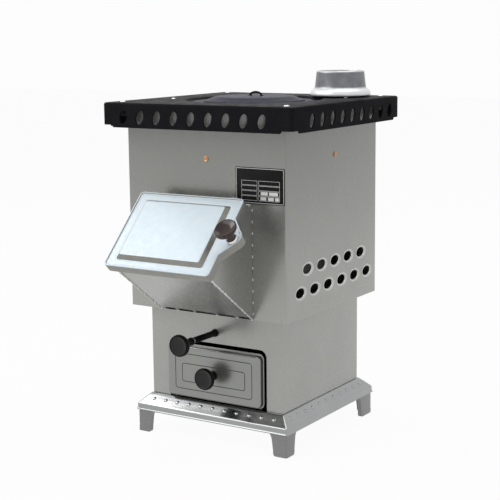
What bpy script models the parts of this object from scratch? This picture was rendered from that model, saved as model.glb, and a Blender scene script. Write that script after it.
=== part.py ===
"""Wood gasifier stove: sheet steel casings on a pressed tray, a front feed hopper, and a black hob plate.

Lengths are metres. X runs to the stove's right seen from the front, Y to its back, Z up.
Every piece is built about the middle of the casings, and the empty "stove" then carries the whole
stove so that the middle of its bounding box's bottom face is the origin.
"""
import math

import bmesh
import bpy
from mathutils import Matrix, Vector

# Clearances and facets
SEAT = 0.0003            # between pieces that rest on or fit each other
SHEET = 0.0015           # casing, tray and hopper sheet
CORNER_STEPS = 2         # facets in a folded sheet corner
EDGE_SHARE = 0.3         # of a rounded edge's size, where its middle facet starts
ROUND = 32               # sides of a large turned piece
ROUND_SMALL = 14         # sides of a small turned piece
PAST = 0.01              # how far a cutter reaches past what it cuts

# Plinth
TRAY_MARGIN = 0.024      # round the lower casing
LEG_HEIGHT = 0.0465
TRAY_HEIGHT = 0.035
TRAY_SKIRT = 0.016
TRAY_BEAD = 0.0012
TRAY_BEAD_HEIGHT = 0.003
TRAY_BEAD_FADE = 0.0042
TRAY_KNEE = 0.002        # rounding between its skirt and its slope
TRAY_SLOPE = ((0.35, 0.0045), (0.7, 0.0115))  # share of the slope's width, height above the skirt
TRAY_CORNER = 0.004
LEG_SHEET = 0.002
LEG_TOP = 0.040
LEG_TUCK = 0.012         # leg height hidden in the tray
LEG_CURVE = ((0.031, 0.0), (0.0325, 0.4), (0.0345, 0.75), (0.0375, 0.92))  # width, share of its height
LEG_BACK_EXTRA = 0.015   # width that the back legs' side sheets have beyond the others
DIMPLES = 11
DIMPLE_MARGIN = 0.037    # from the tray's ends to the first and last dimple
DIMPLE_RADIUS = 0.0042
DIMPLE_TOP = 0.4         # share of its radius
DIMPLE_INSET = 0.0125    # from the tray's edge
DIMPLE_RISE = 0.0014

# Lower casing
LOWER_WIDTH = 0.323
LOWER_DEPTH = 0.317
LOWER_HEIGHT = 0.193
CASING_CORNER = 0.003

# Upper casing
UPPER_WIDTH = 0.378
UPPER_HEIGHT = 0.4191
UPPER_LEDGE = 0.006      # overlap of its floor flange and the lower casing
AIR_HOLE_LENGTH = 0.036
AIR_HOLE_HEIGHT = 0.0184
AIR_PITCH = 0.0563
AIR_ROW_LOW = 0.052      # above the casing's bottom
AIR_ROW_HIGH = 0.097
AIR_LOW_COUNT = 6
AIR_HIGH_COUNT = 5
AIR_MIDDLE = 0.007       # towards the back
BRASS_HEIGHT = 0.3155
BRASS_SHIFT = 0.005
BRASS_HEAD = 0.0052
BRASS_RISE = 0.0012
BRASS_SHANK = 0.002
BRASS_LENGTH = 0.006

# Hob plate
PLATE_WIDTH = 0.450
PLATE_THICK = 0.0045
PLATE_SHEET = 0.003      # its skirt and the well's wall
PLATE_CORNER = 0.009
PLATE_EDGE = 0.004
SKIRT_HEIGHT = 0.045
HEM_HEIGHT = 0.005
HEM_MARGIN = 0.026
HEM_SHEET = 0.002
SKIRT_HOLES = 9
SKIRT_HOLE_WIDTH = 0.019
SKIRT_HOLE_HEIGHT = 0.028
SKIRT_HOLE_PITCH = 0.0411
SKIRT_HOLE_TILT = math.radians(11)
SKIRT_HOLE_DROP = 0.0285  # hole's middle below the plate's top
SKIRT_FRONT_SHIFT = -0.0076
SKIRT_SIDE_SHIFT = 0.0152
SKIRT_BACK_SHIFT = 0.002

# Cooking opening, its ring and its lid
WELL_RADIUS = 0.146
WELL_SLOPE = 0.006
WELL_DEPTH = 0.0042
RING_RADIUS = 0.128
RING_THICK = 0.0045
RING_BORE = 0.094
RING_LEDGE = 0.0105      # width of the ledge that carries the ring
LID_RADIUS = 0.106
LID_TOP_RADIUS = 0.082
LID_RISE = 0.0105
LID_EDGE_THICK = 0.0015
LID_CROWN = 0.012        # width of its gentle crown's edge
LID_CROWN_DROP = 0.0015
LID_SPIGOT = 0.003
LID_SPIGOT_PLAY = 0.002
HANDLE_SPAN = 0.028
HANDLE_RISE = 0.0075
HANDLE_BAR = 0.0021

# Flue
FLUE_X = 0.124
FLUE_Y = 0.148
FLUE_HOLE = 0.038
FLUE_SEAT_RADIUS = 0.0515
FLUE_SEAT_HEIGHT = 0.002
FLUE_BASE_RADIUS = 0.0635
FLUE_BASE_BORE = 0.045
FLUE_BASE_EDGE = 0.0013   # height of the rounding under the bulge
FLUE_BULGE_RADIUS = 0.0645
FLUE_BULGE_HEIGHT = 0.0165
FLUE_FOOT_RADIUS = 0.0544
FLUE_RIM_RADIUS = 0.0509
FLUE_WALL = 0.0045
FLUE_HEIGHT = 0.0525     # from the seat's top to the rim
FLUE_FLARE = ((0.0, 0.3), (0.08, 0.5), (0.35, 0.75), (0.7, 0.9))  # shares of the bulge's width and height
FLUE_LIP = ((0.0, 0.003), (0.0015, 0.0006), (0.003, 0.0))  # inside and below the rim's outer edge

# Hopper and its lid, with lengths along the lid's slope counted from its top edge
HOPPER_WIDTH = 0.2235
HOPPER_TILT = math.radians(45)
HOPPER_SLOTS = 5
HOPPER_SLOT_HEIGHT = 0.0035
HOPPER_SLOT_RISE = 0.0025  # slots' height up the hopper's bottom edge
HOPPER_TACK = 0.006      # width of sheet left between the slots
COVER_SET_OUT = 0.0446   # top edge in front of the upper casing
COVER_TOP_HEIGHT = 0.2487  # top edge above the upper casing's bottom
COVER_OVERHANG = 0.00925  # past the hopper's sides
COVER_LENGTH = 0.1834
COVER_SKIRT = 0.020
COVER_SHEET = 0.004
COVER_CORNER = 0.008
COVER_EDGE = 0.002
COVER_CHAMFER = 0.0006
PANEL_MARGIN = 0.020     # from the lid's sides
PANEL_CORNER = 0.002
PANEL_START = 0.0195
PANEL_END = 0.1655
PANEL_RISE = 0.006
PANEL_BEVEL = 0.0095
MOUTH_DROP = 0.012       # hopper mouth below the lid's top face
MOUTH_START = 0.0195
MOUTH_END = 0.1755
SEAL_WIDTH = 0.006
SEAL_CORNER = 0.002
HINGE_BACK = 0.022       # hinge axis in front of the upper casing
HINGE_ABOVE = 0.0062     # hinge axis above the hopper's roof
HINGE_PIN_RADIUS = 0.0025
HINGE_BARREL = 0.0045    # barrel's outer radius
HINGE_ARM = 0.0036       # from the axis to its arm's upper side
HINGE_PIN_MORE = 0.001   # pin's length beyond the lid's width
LUG_SHEET = 0.004
LUG_INSET = 0.00725      # from the hopper's sides
LUG_MARGIN = 0.001       # round the barrel
LUG_FOOT = 0.004
KNUCKLE_INSET = 0.0115   # from the lugs
KNUCKLE_WIDTH = 0.016
EAR_MIDDLE = 0.0895
EAR_REACH = 0.016        # knob's axis past the lid's side
EAR_RADIUS = 0.018
EAR_ROOT = 0.079
EAR_SWEEP = 60           # degrees of its round end, each way
EAR_DROP = 0.001         # ear's face below the lid's
COVER_KNOB_PLACE = 0.095

# Knobs
KNOB_NECK = 0.0092
COVER_KNOB_RADIUS = 0.0228
COVER_KNOB_LENGTH = 0.029
FERRULE_RADIUS = 0.0122
FERRULE_HEIGHT = 0.004
SHAKER_KNOB_RADIUS = 0.0224
SHAKER_KNOB_LENGTH = 0.047
DRAWER_KNOB_RADIUS = 0.0228
DRAWER_KNOB_LENGTH = 0.036
STUD_RADIUS = 0.003
STUD_HEAD = 0.0055
STUD_HEAD_THICK = 0.003
STUD_GRIP = 0.4          # share of a knob's length
KNOB_HOLE = 0.45         # share of a knob's length
KNOB_NECK_LINE = ((1.1, 0.0), (1.0, 0.12), (1.0, 0.34), (1.3, 0.55))  # shares of the neck and the length
KNOB_HEAD_LINE = ((0.88, 0.74), (1.0, 0.85), (0.98, 0.95), (0.9, 1.0), (0.76, 0.98), (0.0, 0.92))
SCREW_DOME = ((1.0, 0.0), (0.9, 0.6), (0.5, 0.95), (0.0, 1.0))  # shares of a screw head's radius and rise

# Ash drawer
DRAWER_WIDTH = 0.228
DRAWER_HEIGHT = 0.1082
DRAWER_LIFT = 0.0058     # its front's bottom above the tray
DRAWER_CORNER = 0.010
DRAWER_EDGE = 0.003
DRAWER_PROUD = 0.012     # face in front of the lower casing
DRAWER_PAN_DEPTH = 0.014
DRAWER_SHIFT = 0.001     # towards the right
DRAWER_SIDE_GAP = 0.0055
DRAWER_TOP_GAP = 0.0115
DRAWER_OPENING_SHIFT = 0.0035
DRAWER_BOX_INSET = 0.011  # from the front's sides
DRAWER_BOX_DEPTH = 0.280
DRAWER_BOX_HEIGHT = 0.070
DRAWER_KNOB_HEIGHT = 0.055
PRESS_WIDTH = 0.0016
PRESS_DEPTH = 0.0007
PRESS_CORNER = 0.006
PRESS_MIDDLE = 0.0535    # above the drawer's bottom
PRESS_OUTER = (0.190, 0.077)
PRESS_INNER = (0.156, 0.040)
RUNNER_SHEET = 0.002
RUNNER_HEIGHT = 0.024
RUNNER_FLOOR = 0.016
RUNNER_PLAY = 0.0012

# Grate and its shaker rod
ROD_X = 0.0
ROD_RADIUS = 0.004
ROD_ABOVE_DECK = 0.1485
SLEEVE_RADIUS = 0.0065
SLEEVE_LENGTH = 0.078
COLLAR_LENGTH = 0.006
COLLAR_RADIUS = 0.0058
BUSH_RADIUS = 0.0067
BUSH_FLANGE_RADIUS = 0.010
BUSH_FLANGE = 0.003
GRATE_WIDTH = 0.190
GRATE_DEPTH = 0.190
GRATE_THICK = 0.010
GRATE_SLOTS = 9
GRATE_SLOT = 0.010
GRATE_MARGIN = 0.016
RAIL_SHELF = 0.075
RAIL_TOP_SHELF = 0.038
RAIL_SHEET = 0.0025
RAIL_LENGTH = 0.300
HEARTH_THICK = 0.006
HEARTH_ABOVE_GRATE = 0.002
HEARTH_HOLE = 0.160

# Fire box and smoke pan
FIRE_WIDTH = 0.236
FIRE_WALL = 0.004
FIRE_CORNER = 0.005
FEED_WIDTH = 0.200
FEED_BOTTOM = 0.0335     # above the hearth plate
FEED_HEIGHT = 0.128
CHUTE_SHEET = 0.0015
CHUTE_PLAY = 0.0022      # from the casing's opening
BRICK_THICK = 0.024
BRICK_HEIGHT = 0.170
AIR_RING_THICK = 0.022
AIR_RING_BORE = 0.078
NOZZLE_RADIUS = 0.004
NOZZLE_SPREAD = 0.040
PAN_SHEET = 0.003
PAN_CORNER = 0.004
PAN_HOLE = 0.094
PAN_FLANGE = 0.022

# Plate fasteners and nameplate
SCREW_HEAD = 0.0058
SCREW_RISE = 0.0024
SCREW_SHANK = 0.002
SCREW_EASE = 0.0003      # between a screw's hole and the bracket's wall
SCREW_GAP_SHARE = 0.034  # of the gap between the casing and the skirt
RING_SCREW_HEAD = 0.0042
RING_SCREW_RISE = 0.0019
BRACKET_LENGTH = 0.040   # along the casing
BRACKET_GAP_SHARE = 0.7
BRACKET_DROP = 0.024
BRACKET_SHEET = 0.002
RING_SCREWS = ((0.160, 0.104), (-0.158, -0.069))
NAMEPLATE_WIDTH = 0.1115
NAMEPLATE_HEIGHT = 0.071
NAMEPLATE_THICK = 0.001
NAMEPLATE_CORNER = 0.002
NAMEPLATE_EDGE = 0.0025  # from the casing's right edge
NAMEPLATE_BOTTOM = 0.233  # above the upper casing's bottom

# Sizes, levels and faces worked out from the sizes above
TRAY_WIDTH = LOWER_WIDTH + 2 * TRAY_MARGIN
DIMPLE_PITCH = (TRAY_WIDTH - 2 * DIMPLE_MARGIN) / (DIMPLES - 1)
COVER_WIDTH = HOPPER_WIDTH + 2 * COVER_OVERHANG
PANEL_WIDTH = COVER_WIDTH - 2 * PANEL_MARGIN
HINGE_PIN_LENGTH = COVER_WIDTH + HINGE_PIN_MORE
LUG_X = HOPPER_WIDTH / 2 - LUG_INSET
KNUCKLE_X = LUG_X - KNUCKLE_INSET
DECK_Z = LEG_HEIGHT + TRAY_HEIGHT
LOWER_Z = DECK_Z + SEAT
LOWER_TOP_Z = LOWER_Z + LOWER_HEIGHT
UPPER_Z = LOWER_TOP_Z + SEAT
UPPER_TOP_Z = UPPER_Z + UPPER_HEIGHT
PLATE_UNDER_Z = UPPER_TOP_Z + SEAT
PLATE_Z = PLATE_UNDER_Z + PLATE_THICK
FLOOR_Z = PLATE_Z - WELL_DEPTH
LEDGE_Z = FLOOR_Z - RING_THICK - SEAT
LID_Z = FLOOR_Z + SEAT
SEAT_Z = PLATE_Z + SEAT
COLLAR_Z = SEAT_Z + FLUE_SEAT_HEIGHT + SEAT
UPPER_HALF = UPPER_WIDTH / 2
UPPER_FRONT = -UPPER_HALF
LOWER_FRONT = -LOWER_DEPTH / 2
LOWER_INSIDE = LOWER_WIDTH / 2 - SHEET - SEAT
PLATE_HALF = PLATE_WIDTH / 2
PLATE_GAP = PLATE_HALF - PLATE_SHEET - UPPER_HALF - SEAT
SCREW_SET_OUT = BRACKET_SHEET + SCREW_SHANK + SEAT + SCREW_EASE + SCREW_GAP_SHARE * PLATE_GAP
SCREW_PLACE = UPPER_HALF + SEAT + SCREW_SET_OUT
BRACKET_DEPTH = SCREW_SET_OUT + BRACKET_GAP_SHARE * (PLATE_GAP - SCREW_SET_OUT)
BRACKET_END = UPPER_HALF + SEAT + BRACKET_DEPTH
BRASS_Z = UPPER_Z + BRASS_HEIGHT
ROD_Z = DECK_Z + ROD_ABOVE_DECK
GRATE_LOW_Z = ROD_Z - GRATE_THICK / 2
HEARTH_Z = ROD_Z + GRATE_THICK / 2 + HEARTH_ABOVE_GRATE
FIRE_Z = HEARTH_Z + HEARTH_THICK + SEAT
PAN_Z = BRASS_Z - PAN_FLANGE / 2
FIRE_TOP_Z = PAN_Z - SEAT
AIR_RING_Z = FIRE_Z + BRICK_HEIGHT + SEAT
FEED_Z = FIRE_Z + FEED_BOTTOM
FEED_TOP_Z = FEED_Z + FEED_HEIGHT
FIRE_INSIDE = FIRE_WIDTH / 2 - FIRE_WALL - 2 * SEAT
DRAWER_Z = DECK_Z + DRAWER_LIFT
DRAWER_BOX_WIDTH = DRAWER_WIDTH - 2 * DRAWER_BOX_INSET
BOX_Z = DRAWER_Z + SHEET + SEAT
DRAWER_FACE = LOWER_FRONT - DRAWER_PROUD
DRAWER_KNOB_Z = DRAWER_Z + DRAWER_KNOB_HEIGHT
DRAWER_BOX_FRONT = DRAWER_FACE + SHEET + SEAT

# The hopper lid's slope: its top edge, and the directions down it and out of it
COVER_TOP = Vector((0, UPPER_FRONT - COVER_SET_OUT, UPPER_Z + COVER_TOP_HEIGHT))
DOWN = Vector((0, -math.sin(HOPPER_TILT), -math.cos(HOPPER_TILT)))
OUT = Vector((0, -math.cos(HOPPER_TILT), math.sin(HOPPER_TILT)))
MOUTH_TOP = COVER_TOP + DOWN * MOUTH_START - OUT * MOUTH_DROP
MOUTH_LOW = COVER_TOP + DOWN * MOUTH_END - OUT * MOUTH_DROP
HINGE = Vector((0, UPPER_FRONT - HINGE_BACK, MOUTH_TOP.z + HINGE_ABOVE))
STOVE_FRONT = (COVER_TOP + DOWN * (COVER_LENGTH - COVER_CHAMFER) - OUT * COVER_CHAMFER).y
STOVE_SHIFT = -(STOVE_FRONT + PLATE_HALF) / 2

# Frames: the lid's (Y up its slope, Z out of it) and the casing front's (Y up, Z out of it)
SLOPE_FRAME = Matrix.Translation(COVER_TOP) @ Matrix((
    (1, 0, 0, 0), (0, -DOWN.y, OUT.y, 0), (0, -DOWN.z, OUT.z, 0), (0, 0, 0, 1)))
FRONT_TURN = Matrix.Rotation(math.pi / 2, 4, "X")

LOOKS = {
    "galvanised_sheet": ((0.52, 0.52, 0.49), 0.30, 1.0),
    "tray_sheet": ((0.60, 0.61, 0.60), 0.28, 1.0),
    "black_enamel": ((0.015, 0.016, 0.018), 0.32, 0.0),
    "cast_aluminium": ((0.80, 0.83, 0.85), 0.35, 0.6),
    "cast_iron": ((0.045, 0.048, 0.06), 0.45, 0.4),
    "flue_casting": ((0.42, 0.43, 0.45), 0.38, 0.9),
    "black_bakelite": ((0.012, 0.012, 0.013), 0.22, 0.0),
    "brown_bakelite": ((0.07, 0.028, 0.02), 0.2, 0.0),
    "bright_steel": ((0.75, 0.75, 0.74), 0.2, 1.0),
    "brass": ((0.75, 0.45, 0.22), 0.3, 1.0),
    "inner_steel": ((0.2, 0.2, 0.2), 0.5, 0.9),
    "fire_brick": ((0.55, 0.42, 0.30), 0.9, 0.0),
    "fibre_seal": ((0.6, 0.58, 0.52), 0.95, 0.0),
}


def remove_objects():
    """Empty the scene."""
    for item in list(bpy.data.objects):
        bpy.data.objects.remove(item, do_unlink=True)


def make_looks():
    """A Principled material for each finish."""
    for name, (colour, roughness, metallic) in LOOKS.items():
        made = bpy.data.materials.new(name)
        made.use_nodes = True
        shader = made.node_tree.nodes["Principled BSDF"]
        shader.inputs["Base Color"].default_value = (*colour, 1)
        shader.inputs["Roughness"].default_value = roughness
        shader.inputs["Metallic"].default_value = metallic


def place_of(carrier):
    """An empty's place in the stove's frame."""
    place = Vector()
    while carrier.parent:
        place += carrier.location
        carrier = carrier.parent
    return place


def empty(name, place, parent=None):
    """An empty that carries a group; a moving group's stands on its joint's axis."""
    made = bpy.data.objects.new(name, None)
    made.location = Vector(place) - (place_of(parent) if parent else Vector())
    made.parent = parent
    bpy.context.collection.objects.link(made)
    return made


def turn_out(shape):
    """Face a closed shape's sides outwards."""
    bmesh.ops.recalc_face_normals(shape, faces=shape.faces)
    if shape.calc_volume(signed=True) < 0:
        bmesh.ops.reverse_faces(shape, faces=shape.faces)
    return shape


def finish(name, shape, look, carrier):
    """Make a closed shape in the stove's frame an object of its own, carried by an empty."""
    return add_object(name, turn_out(shape), look, carrier)


def add_object(name, shape, look, carrier):
    """An object for a shape whose sides face outwards."""
    shape.transform(Matrix.Translation(-place_of(carrier)))
    data = bpy.data.meshes.new(name)
    shape.to_mesh(data)
    shape.free()
    data.materials.append(bpy.data.materials[look])
    data.shade_smooth()
    data.set_sharp_from_angle(angle=math.radians(35))
    made = bpy.data.objects.new(name, data)
    made.parent = carrier
    bpy.context.collection.objects.link(made)
    return made


def boolean(target, operation, *shapes):
    """Cut hidden solids out of a piece (DIFFERENCE), or join them to it (UNION)."""
    number = len(target.modifiers) + 1
    look = target.data.materials[0].name
    tool = add_object(f"{target.name}_tool_{number}", join(shapes), look, target.parent)
    tool.hide_render = True
    tool.display_type = "WIRE"
    change = target.modifiers.new(tool.name, "BOOLEAN")
    change.operation = operation
    change.solver = "EXACT"
    change.object = tool


def join(shapes):
    """One mesh that holds the faces of several."""
    whole = bmesh.new()
    for shape in shapes:
        turn_out(shape)
        data = bpy.data.meshes.new("part")
        shape.to_mesh(data)
        shape.free()
        whole.from_mesh(data)
        bpy.data.meshes.remove(data)
    return whole


def rounded_rectangle(width, depth, radius, height=0, steps=CORNER_STEPS, middle=(0, 0)):
    """Points of a rounded rectangle in a level plane, anticlockwise."""
    points = []
    for number, (side_x, side_y) in enumerate(((1, 1), (-1, 1), (-1, -1), (1, -1))):
        centre_x = middle[0] + side_x * (width / 2 - radius)
        centre_y = middle[1] + side_y * (depth / 2 - radius)
        for step in range(steps + 1):
            angle = math.pi / 2 * (number + step / steps)
            points.append(Vector((centre_x + radius * math.cos(angle),
                                  centre_y + radius * math.sin(angle), height)))
    return points


def skin(sections, ring=False):
    """A solid through sections of equally many points, with its ends capped or joined to each other."""
    shape = bmesh.new()
    loops = [[shape.verts.new(point) for point in section] for section in sections]
    pairs = list(zip(loops, loops[1:]))
    if ring:
        pairs.append((loops[-1], loops[0]))
    for first, second in pairs:
        for index in range(len(first)):
            shape.faces.new((first[index - 1], first[index], second[index], second[index - 1]))
    if not ring:
        shape.faces.new(loops[0])
        shape.faces.new(loops[-1])
    return shape


def prism(points, axis, low, high):
    """A polygon pushed along an axis; its points give the other two coordinates in order."""
    shape = bmesh.new()
    along = "xyz".index(axis)
    corners = []
    for first, second in points:
        place = [first, second]
        place.insert(along, low)
        corners.append(shape.verts.new(place))
    pushed = bmesh.ops.extrude_face_region(shape, geom=[shape.faces.new(corners)])
    step = [0, 0]
    step.insert(along, high - low)
    moved = [item for item in pushed["geom"] if isinstance(item, bmesh.types.BMVert)]
    bmesh.ops.translate(shape, verts=moved, vec=step)
    return shape


def block(low, high):
    """A box between two corners, given in any order."""
    shape = bmesh.new()
    bmesh.ops.create_cube(shape, size=1)
    low, high = Vector(low), Vector(high)
    bmesh.ops.scale(shape, vec=[abs(value) for value in high - low], verts=shape.verts)
    bmesh.ops.translate(shape, vec=(low + high) / 2, verts=shape.verts)
    return shape


def turned(profile, steps=ROUND_SMALL, hollow=False):
    """A profile of (radius, height) points spun about Z; a hollow one closes on itself as a ring."""
    shape = bmesh.new()
    corners = [shape.verts.new((radius, 0, height)) for radius, height in profile]
    edges = [shape.edges.new(pair) for pair in zip(corners, corners[1:])]
    if hollow:
        edges.append(shape.edges.new((corners[-1], corners[0])))
    bmesh.ops.spin(shape, geom=corners + edges, axis=(0, 0, 1), cent=(0, 0, 0), steps=steps,
                   angle=2 * math.pi, use_merge=True)
    bmesh.ops.remove_doubles(shape, verts=shape.verts, dist=1e-6)
    return shape


def aimed(shape, place, direction):
    """Turn a shape's Z towards a direction, and move it to its place."""
    turn = Vector((0, 0, 1)).rotation_difference(Vector(direction)).to_matrix().to_4x4()
    shape.transform(Matrix.Translation(place) @ turn)
    return shape


def rod(start, end, radius, steps=ROUND_SMALL):
    """A round bar between two points."""
    length = (Vector(end) - Vector(start)).length
    bar = turned(((0, 0), (radius, 0), (radius, length), (0, length)), steps)
    return aimed(bar, start, Vector(end) - Vector(start))


def tube(start, end, radius, bore, steps=ROUND_SMALL):
    """A round tube between two points."""
    length = (Vector(end) - Vector(start)).length
    wall = turned(((bore, 0), (radius, 0), (radius, length), (bore, length)), steps, hollow=True)
    return aimed(wall, start, Vector(end) - Vector(start))


def casing_tube(name, width, depth, low, high, look, carrier):
    """A folded sheet casing, open at the top and the bottom."""
    inner = (width - 2 * SHEET, depth - 2 * SHEET, CASING_CORNER - SHEET)
    return finish(name, skin([
        rounded_rectangle(width, depth, CASING_CORNER, low),
        rounded_rectangle(width, depth, CASING_CORNER, high),
        rounded_rectangle(*inner, high),
        rounded_rectangle(*inner, low)], ring=True), look, carrier)


def make_tray(stove):
    """The pressed tray that the casings stand on, with dimples along its four slopes."""
    half = TRAY_WIDTH / 2
    foot = LOWER_WIDTH / 2 + SHEET
    width = half - foot
    slope = [(half - width * share, TRAY_SKIRT + height) for share, height in TRAY_SLOPE]
    hem = half + TRAY_BEAD
    outer = [(hem, 0), (hem, TRAY_BEAD_HEIGHT), (half, TRAY_BEAD_FADE), (half, TRAY_SKIRT - TRAY_KNEE),
             (half - SHEET, TRAY_SKIRT)] + slope + [(foot, TRAY_HEIGHT)]
    inner = [(hem - SHEET, 0), (half - SHEET, TRAY_BEAD_FADE), (half - SHEET, TRAY_SKIRT - 2 * TRAY_KNEE)] + [
        (reach - SHEET, height - SHEET) for reach, height in slope] + [(foot - SHEET, TRAY_HEIGHT - SHEET)]
    tray = finish("base_tray", skin([
        rounded_rectangle(2 * reach, 2 * reach, TRAY_CORNER, LEG_HEIGHT + height)
        for reach, height in inner[::-1] + outer]), "tray_sheet", stove)
    start, end = (Vector((reach, LEG_HEIGHT + height)) for reach, height in slope)
    fall = (start - end).normalized()
    spot = start - fall * (start.x - half + DIMPLE_INSET) / fall.x
    profile = ((0, -DIMPLE_RISE), (DIMPLE_RADIUS, -DIMPLE_RISE), (DIMPLE_RADIUS * DIMPLE_TOP, DIMPLE_RISE),
               (0, DIMPLE_RISE))
    dimples = []
    for number in range(DIMPLES):
        along = (number - (DIMPLES - 1) / 2) * DIMPLE_PITCH
        for side in range(4):
            dimple = aimed(turned(profile, 6), (along, -spot.x, spot.y), (0, fall.y, fall.x))
            dimple.transform(Matrix.Rotation(side * math.pi / 2, 4, "Z"))
            dimples.append(dimple)
    boolean(tray, "UNION", *dimples)


def make_legs(stove):
    """Four bent corner legs, tucked inside the tray's skirt."""
    outer = TRAY_WIDTH / 2 - SHEET - SEAT
    inner = outer - LEG_SHEET
    top = LEG_HEIGHT + LEG_TUCK
    centre = outer - TRAY_CORNER
    fold = [(centre + TRAY_CORNER * math.cos(angle), centre + TRAY_CORNER * math.sin(angle))
            for angle in (step * math.pi / 6 for step in range(4))]
    for side_x, side_y, name in ((-1, -1, "front_left"), (1, -1, "front_right"),
                                 (-1, 1, "back_left"), (1, 1, "back_right")):
        extra = LEG_BACK_EXTRA if side_y > 0 else 0
        end_x, end_y = outer - LEG_TOP, outer - LEG_TOP - extra
        plan = [(outer, end_y)] + fold + [(end_x, outer), (end_x, inner), (inner, inner), (inner, end_y)]
        leg = finish("leg_" + name, prism([(side_x * x, side_y * y) for x, y in plan], "z", 0, top),
                     "tray_sheet", stove)
        boolean(leg, "DIFFERENCE",
                prism([(side_x * x, z) for x, z in leg_cut(outer, 0)], "y", side_y * (inner - SHEET),
                      side_y * (outer + PAST)),
                prism([(side_y * y, z) for y, z in leg_cut(outer, extra)], "x", side_x * (inner - SHEET),
                      side_x * (outer + PAST)))


def leg_cut(outer, extra):
    """What a leg's curved inner edge takes away, as distance from the middle and height."""
    end = outer - LEG_TOP - extra - PAST
    curve = [(outer - width - extra, share * LEG_HEIGHT) for width, share in LEG_CURVE]
    return [(end, -PAST), (curve[0][0], -PAST)] + curve + [
        (outer - LEG_TOP - extra, LEG_HEIGHT), (end, LEG_HEIGHT)]


def make_lower_casing(stove):
    """The ash casing, with the drawer's opening and the shaker's hole in its front."""
    casing = casing_tube("lower_casing", LOWER_WIDTH, LOWER_DEPTH, LOWER_Z, LOWER_TOP_Z,
                         "galvanised_sheet", stove)
    top = DRAWER_Z + DRAWER_HEIGHT + DRAWER_TOP_GAP
    opening = rounded_rectangle(DRAWER_WIDTH + 2 * DRAWER_SIDE_GAP, 2 * (top - DECK_Z),
                                DRAWER_CORNER + DRAWER_SIDE_GAP, 0, 3, (DRAWER_OPENING_SHIFT, DECK_Z))
    front, back = LOWER_FRONT - PAST, LOWER_FRONT + PAST
    boolean(casing, "DIFFERENCE",
            prism([(point.x, point.y) for point in opening], "y", front, back),
            rod((ROD_X, front, ROD_Z), (ROD_X, back, ROD_Z), BUSH_RADIUS + SEAT))


def brass_places():
    """The name, the place on the casing and the outward direction of each brass screw."""
    reach = UPPER_HALF + SEAT
    return (("front", Vector((BRASS_SHIFT, -reach, BRASS_Z)), Vector((0, -1, 0))),
            ("back", Vector((BRASS_SHIFT, reach, BRASS_Z)), Vector((0, 1, 0))),
            ("left", Vector((-reach, BRASS_SHIFT, BRASS_Z)), Vector((-1, 0, 0))),
            ("right", Vector((reach, BRASS_SHIFT, BRASS_Z)), Vector((1, 0, 0))))


def brass_holes():
    """A drill for each brass screw, through the casing and the smoke pan's flange."""
    return [rod(place + outwards * PAST, place - outwards * PAST, BRASS_SHANK + SEAT, 8)
            for _, place, outwards in brass_places()]


def air_hole(y, z):
    """One level oval through both of the casing's sides."""
    angles = [2 * math.pi * step / ROUND_SMALL for step in range(ROUND_SMALL)]
    outline = [(y + AIR_HOLE_LENGTH / 2 * math.cos(angle), z + AIR_HOLE_HEIGHT / 2 * math.sin(angle))
               for angle in angles]
    return prism(outline, "x", -UPPER_WIDTH, UPPER_WIDTH)


def make_upper_casing(stove):
    """The main casing, with its floor flange, feed opening, side air holes and screw holes."""
    inner = UPPER_WIDTH - 2 * SHEET
    flange = (LOWER_WIDTH - 2 * UPPER_LEDGE, LOWER_DEPTH - 2 * UPPER_LEDGE, CASING_CORNER)
    casing = finish("upper_casing", skin([
        rounded_rectangle(UPPER_WIDTH, UPPER_WIDTH, CASING_CORNER, UPPER_Z),
        rounded_rectangle(UPPER_WIDTH, UPPER_WIDTH, CASING_CORNER, UPPER_TOP_Z),
        rounded_rectangle(inner, inner, CASING_CORNER - SHEET, UPPER_TOP_Z),
        rounded_rectangle(inner, inner, CASING_CORNER - SHEET, UPPER_Z + SHEET),
        rounded_rectangle(*flange, UPPER_Z + SHEET),
        rounded_rectangle(*flange, UPPER_Z)], ring=True), "galvanised_sheet", stove)
    side = HOPPER_WIDTH / 2 - SHEET
    cuts = [block((-side, UPPER_FRONT - PAST, UPPER_Z + 2 * SHEET),
                  (side, UPPER_FRONT + PAST, MOUTH_TOP.z - SHEET))]
    for count, row in ((AIR_LOW_COUNT, AIR_ROW_LOW), (AIR_HIGH_COUNT, AIR_ROW_HIGH)):
        for number in range(count):
            y = AIR_MIDDLE + (number - (count - 1) / 2) * AIR_PITCH
            cuts.append(air_hole(y, UPPER_Z + row))
    boolean(casing, "DIFFERENCE", *cuts, *brass_holes())


def skirt_hole(along, side):
    """One slanted oval through the plate's skirt, on one of its four sides."""
    angles = [2 * math.pi * step / 14 for step in range(14)]
    lean = math.tan(SKIRT_HOLE_TILT)
    z = PLATE_Z - SKIRT_HOLE_DROP
    outline = [(along + SKIRT_HOLE_WIDTH / 2 * math.cos(angle) + lean * SKIRT_HOLE_HEIGHT / 2 * math.sin(angle),
                z + SKIRT_HOLE_HEIGHT / 2 * math.sin(angle)) for angle in angles]
    oval = prism(outline, "y", -PLATE_HALF - PAST, -PLATE_HALF + PAST)
    oval.transform(Matrix.Rotation(side * math.pi / 2, 4, "Z"))
    return oval


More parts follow.
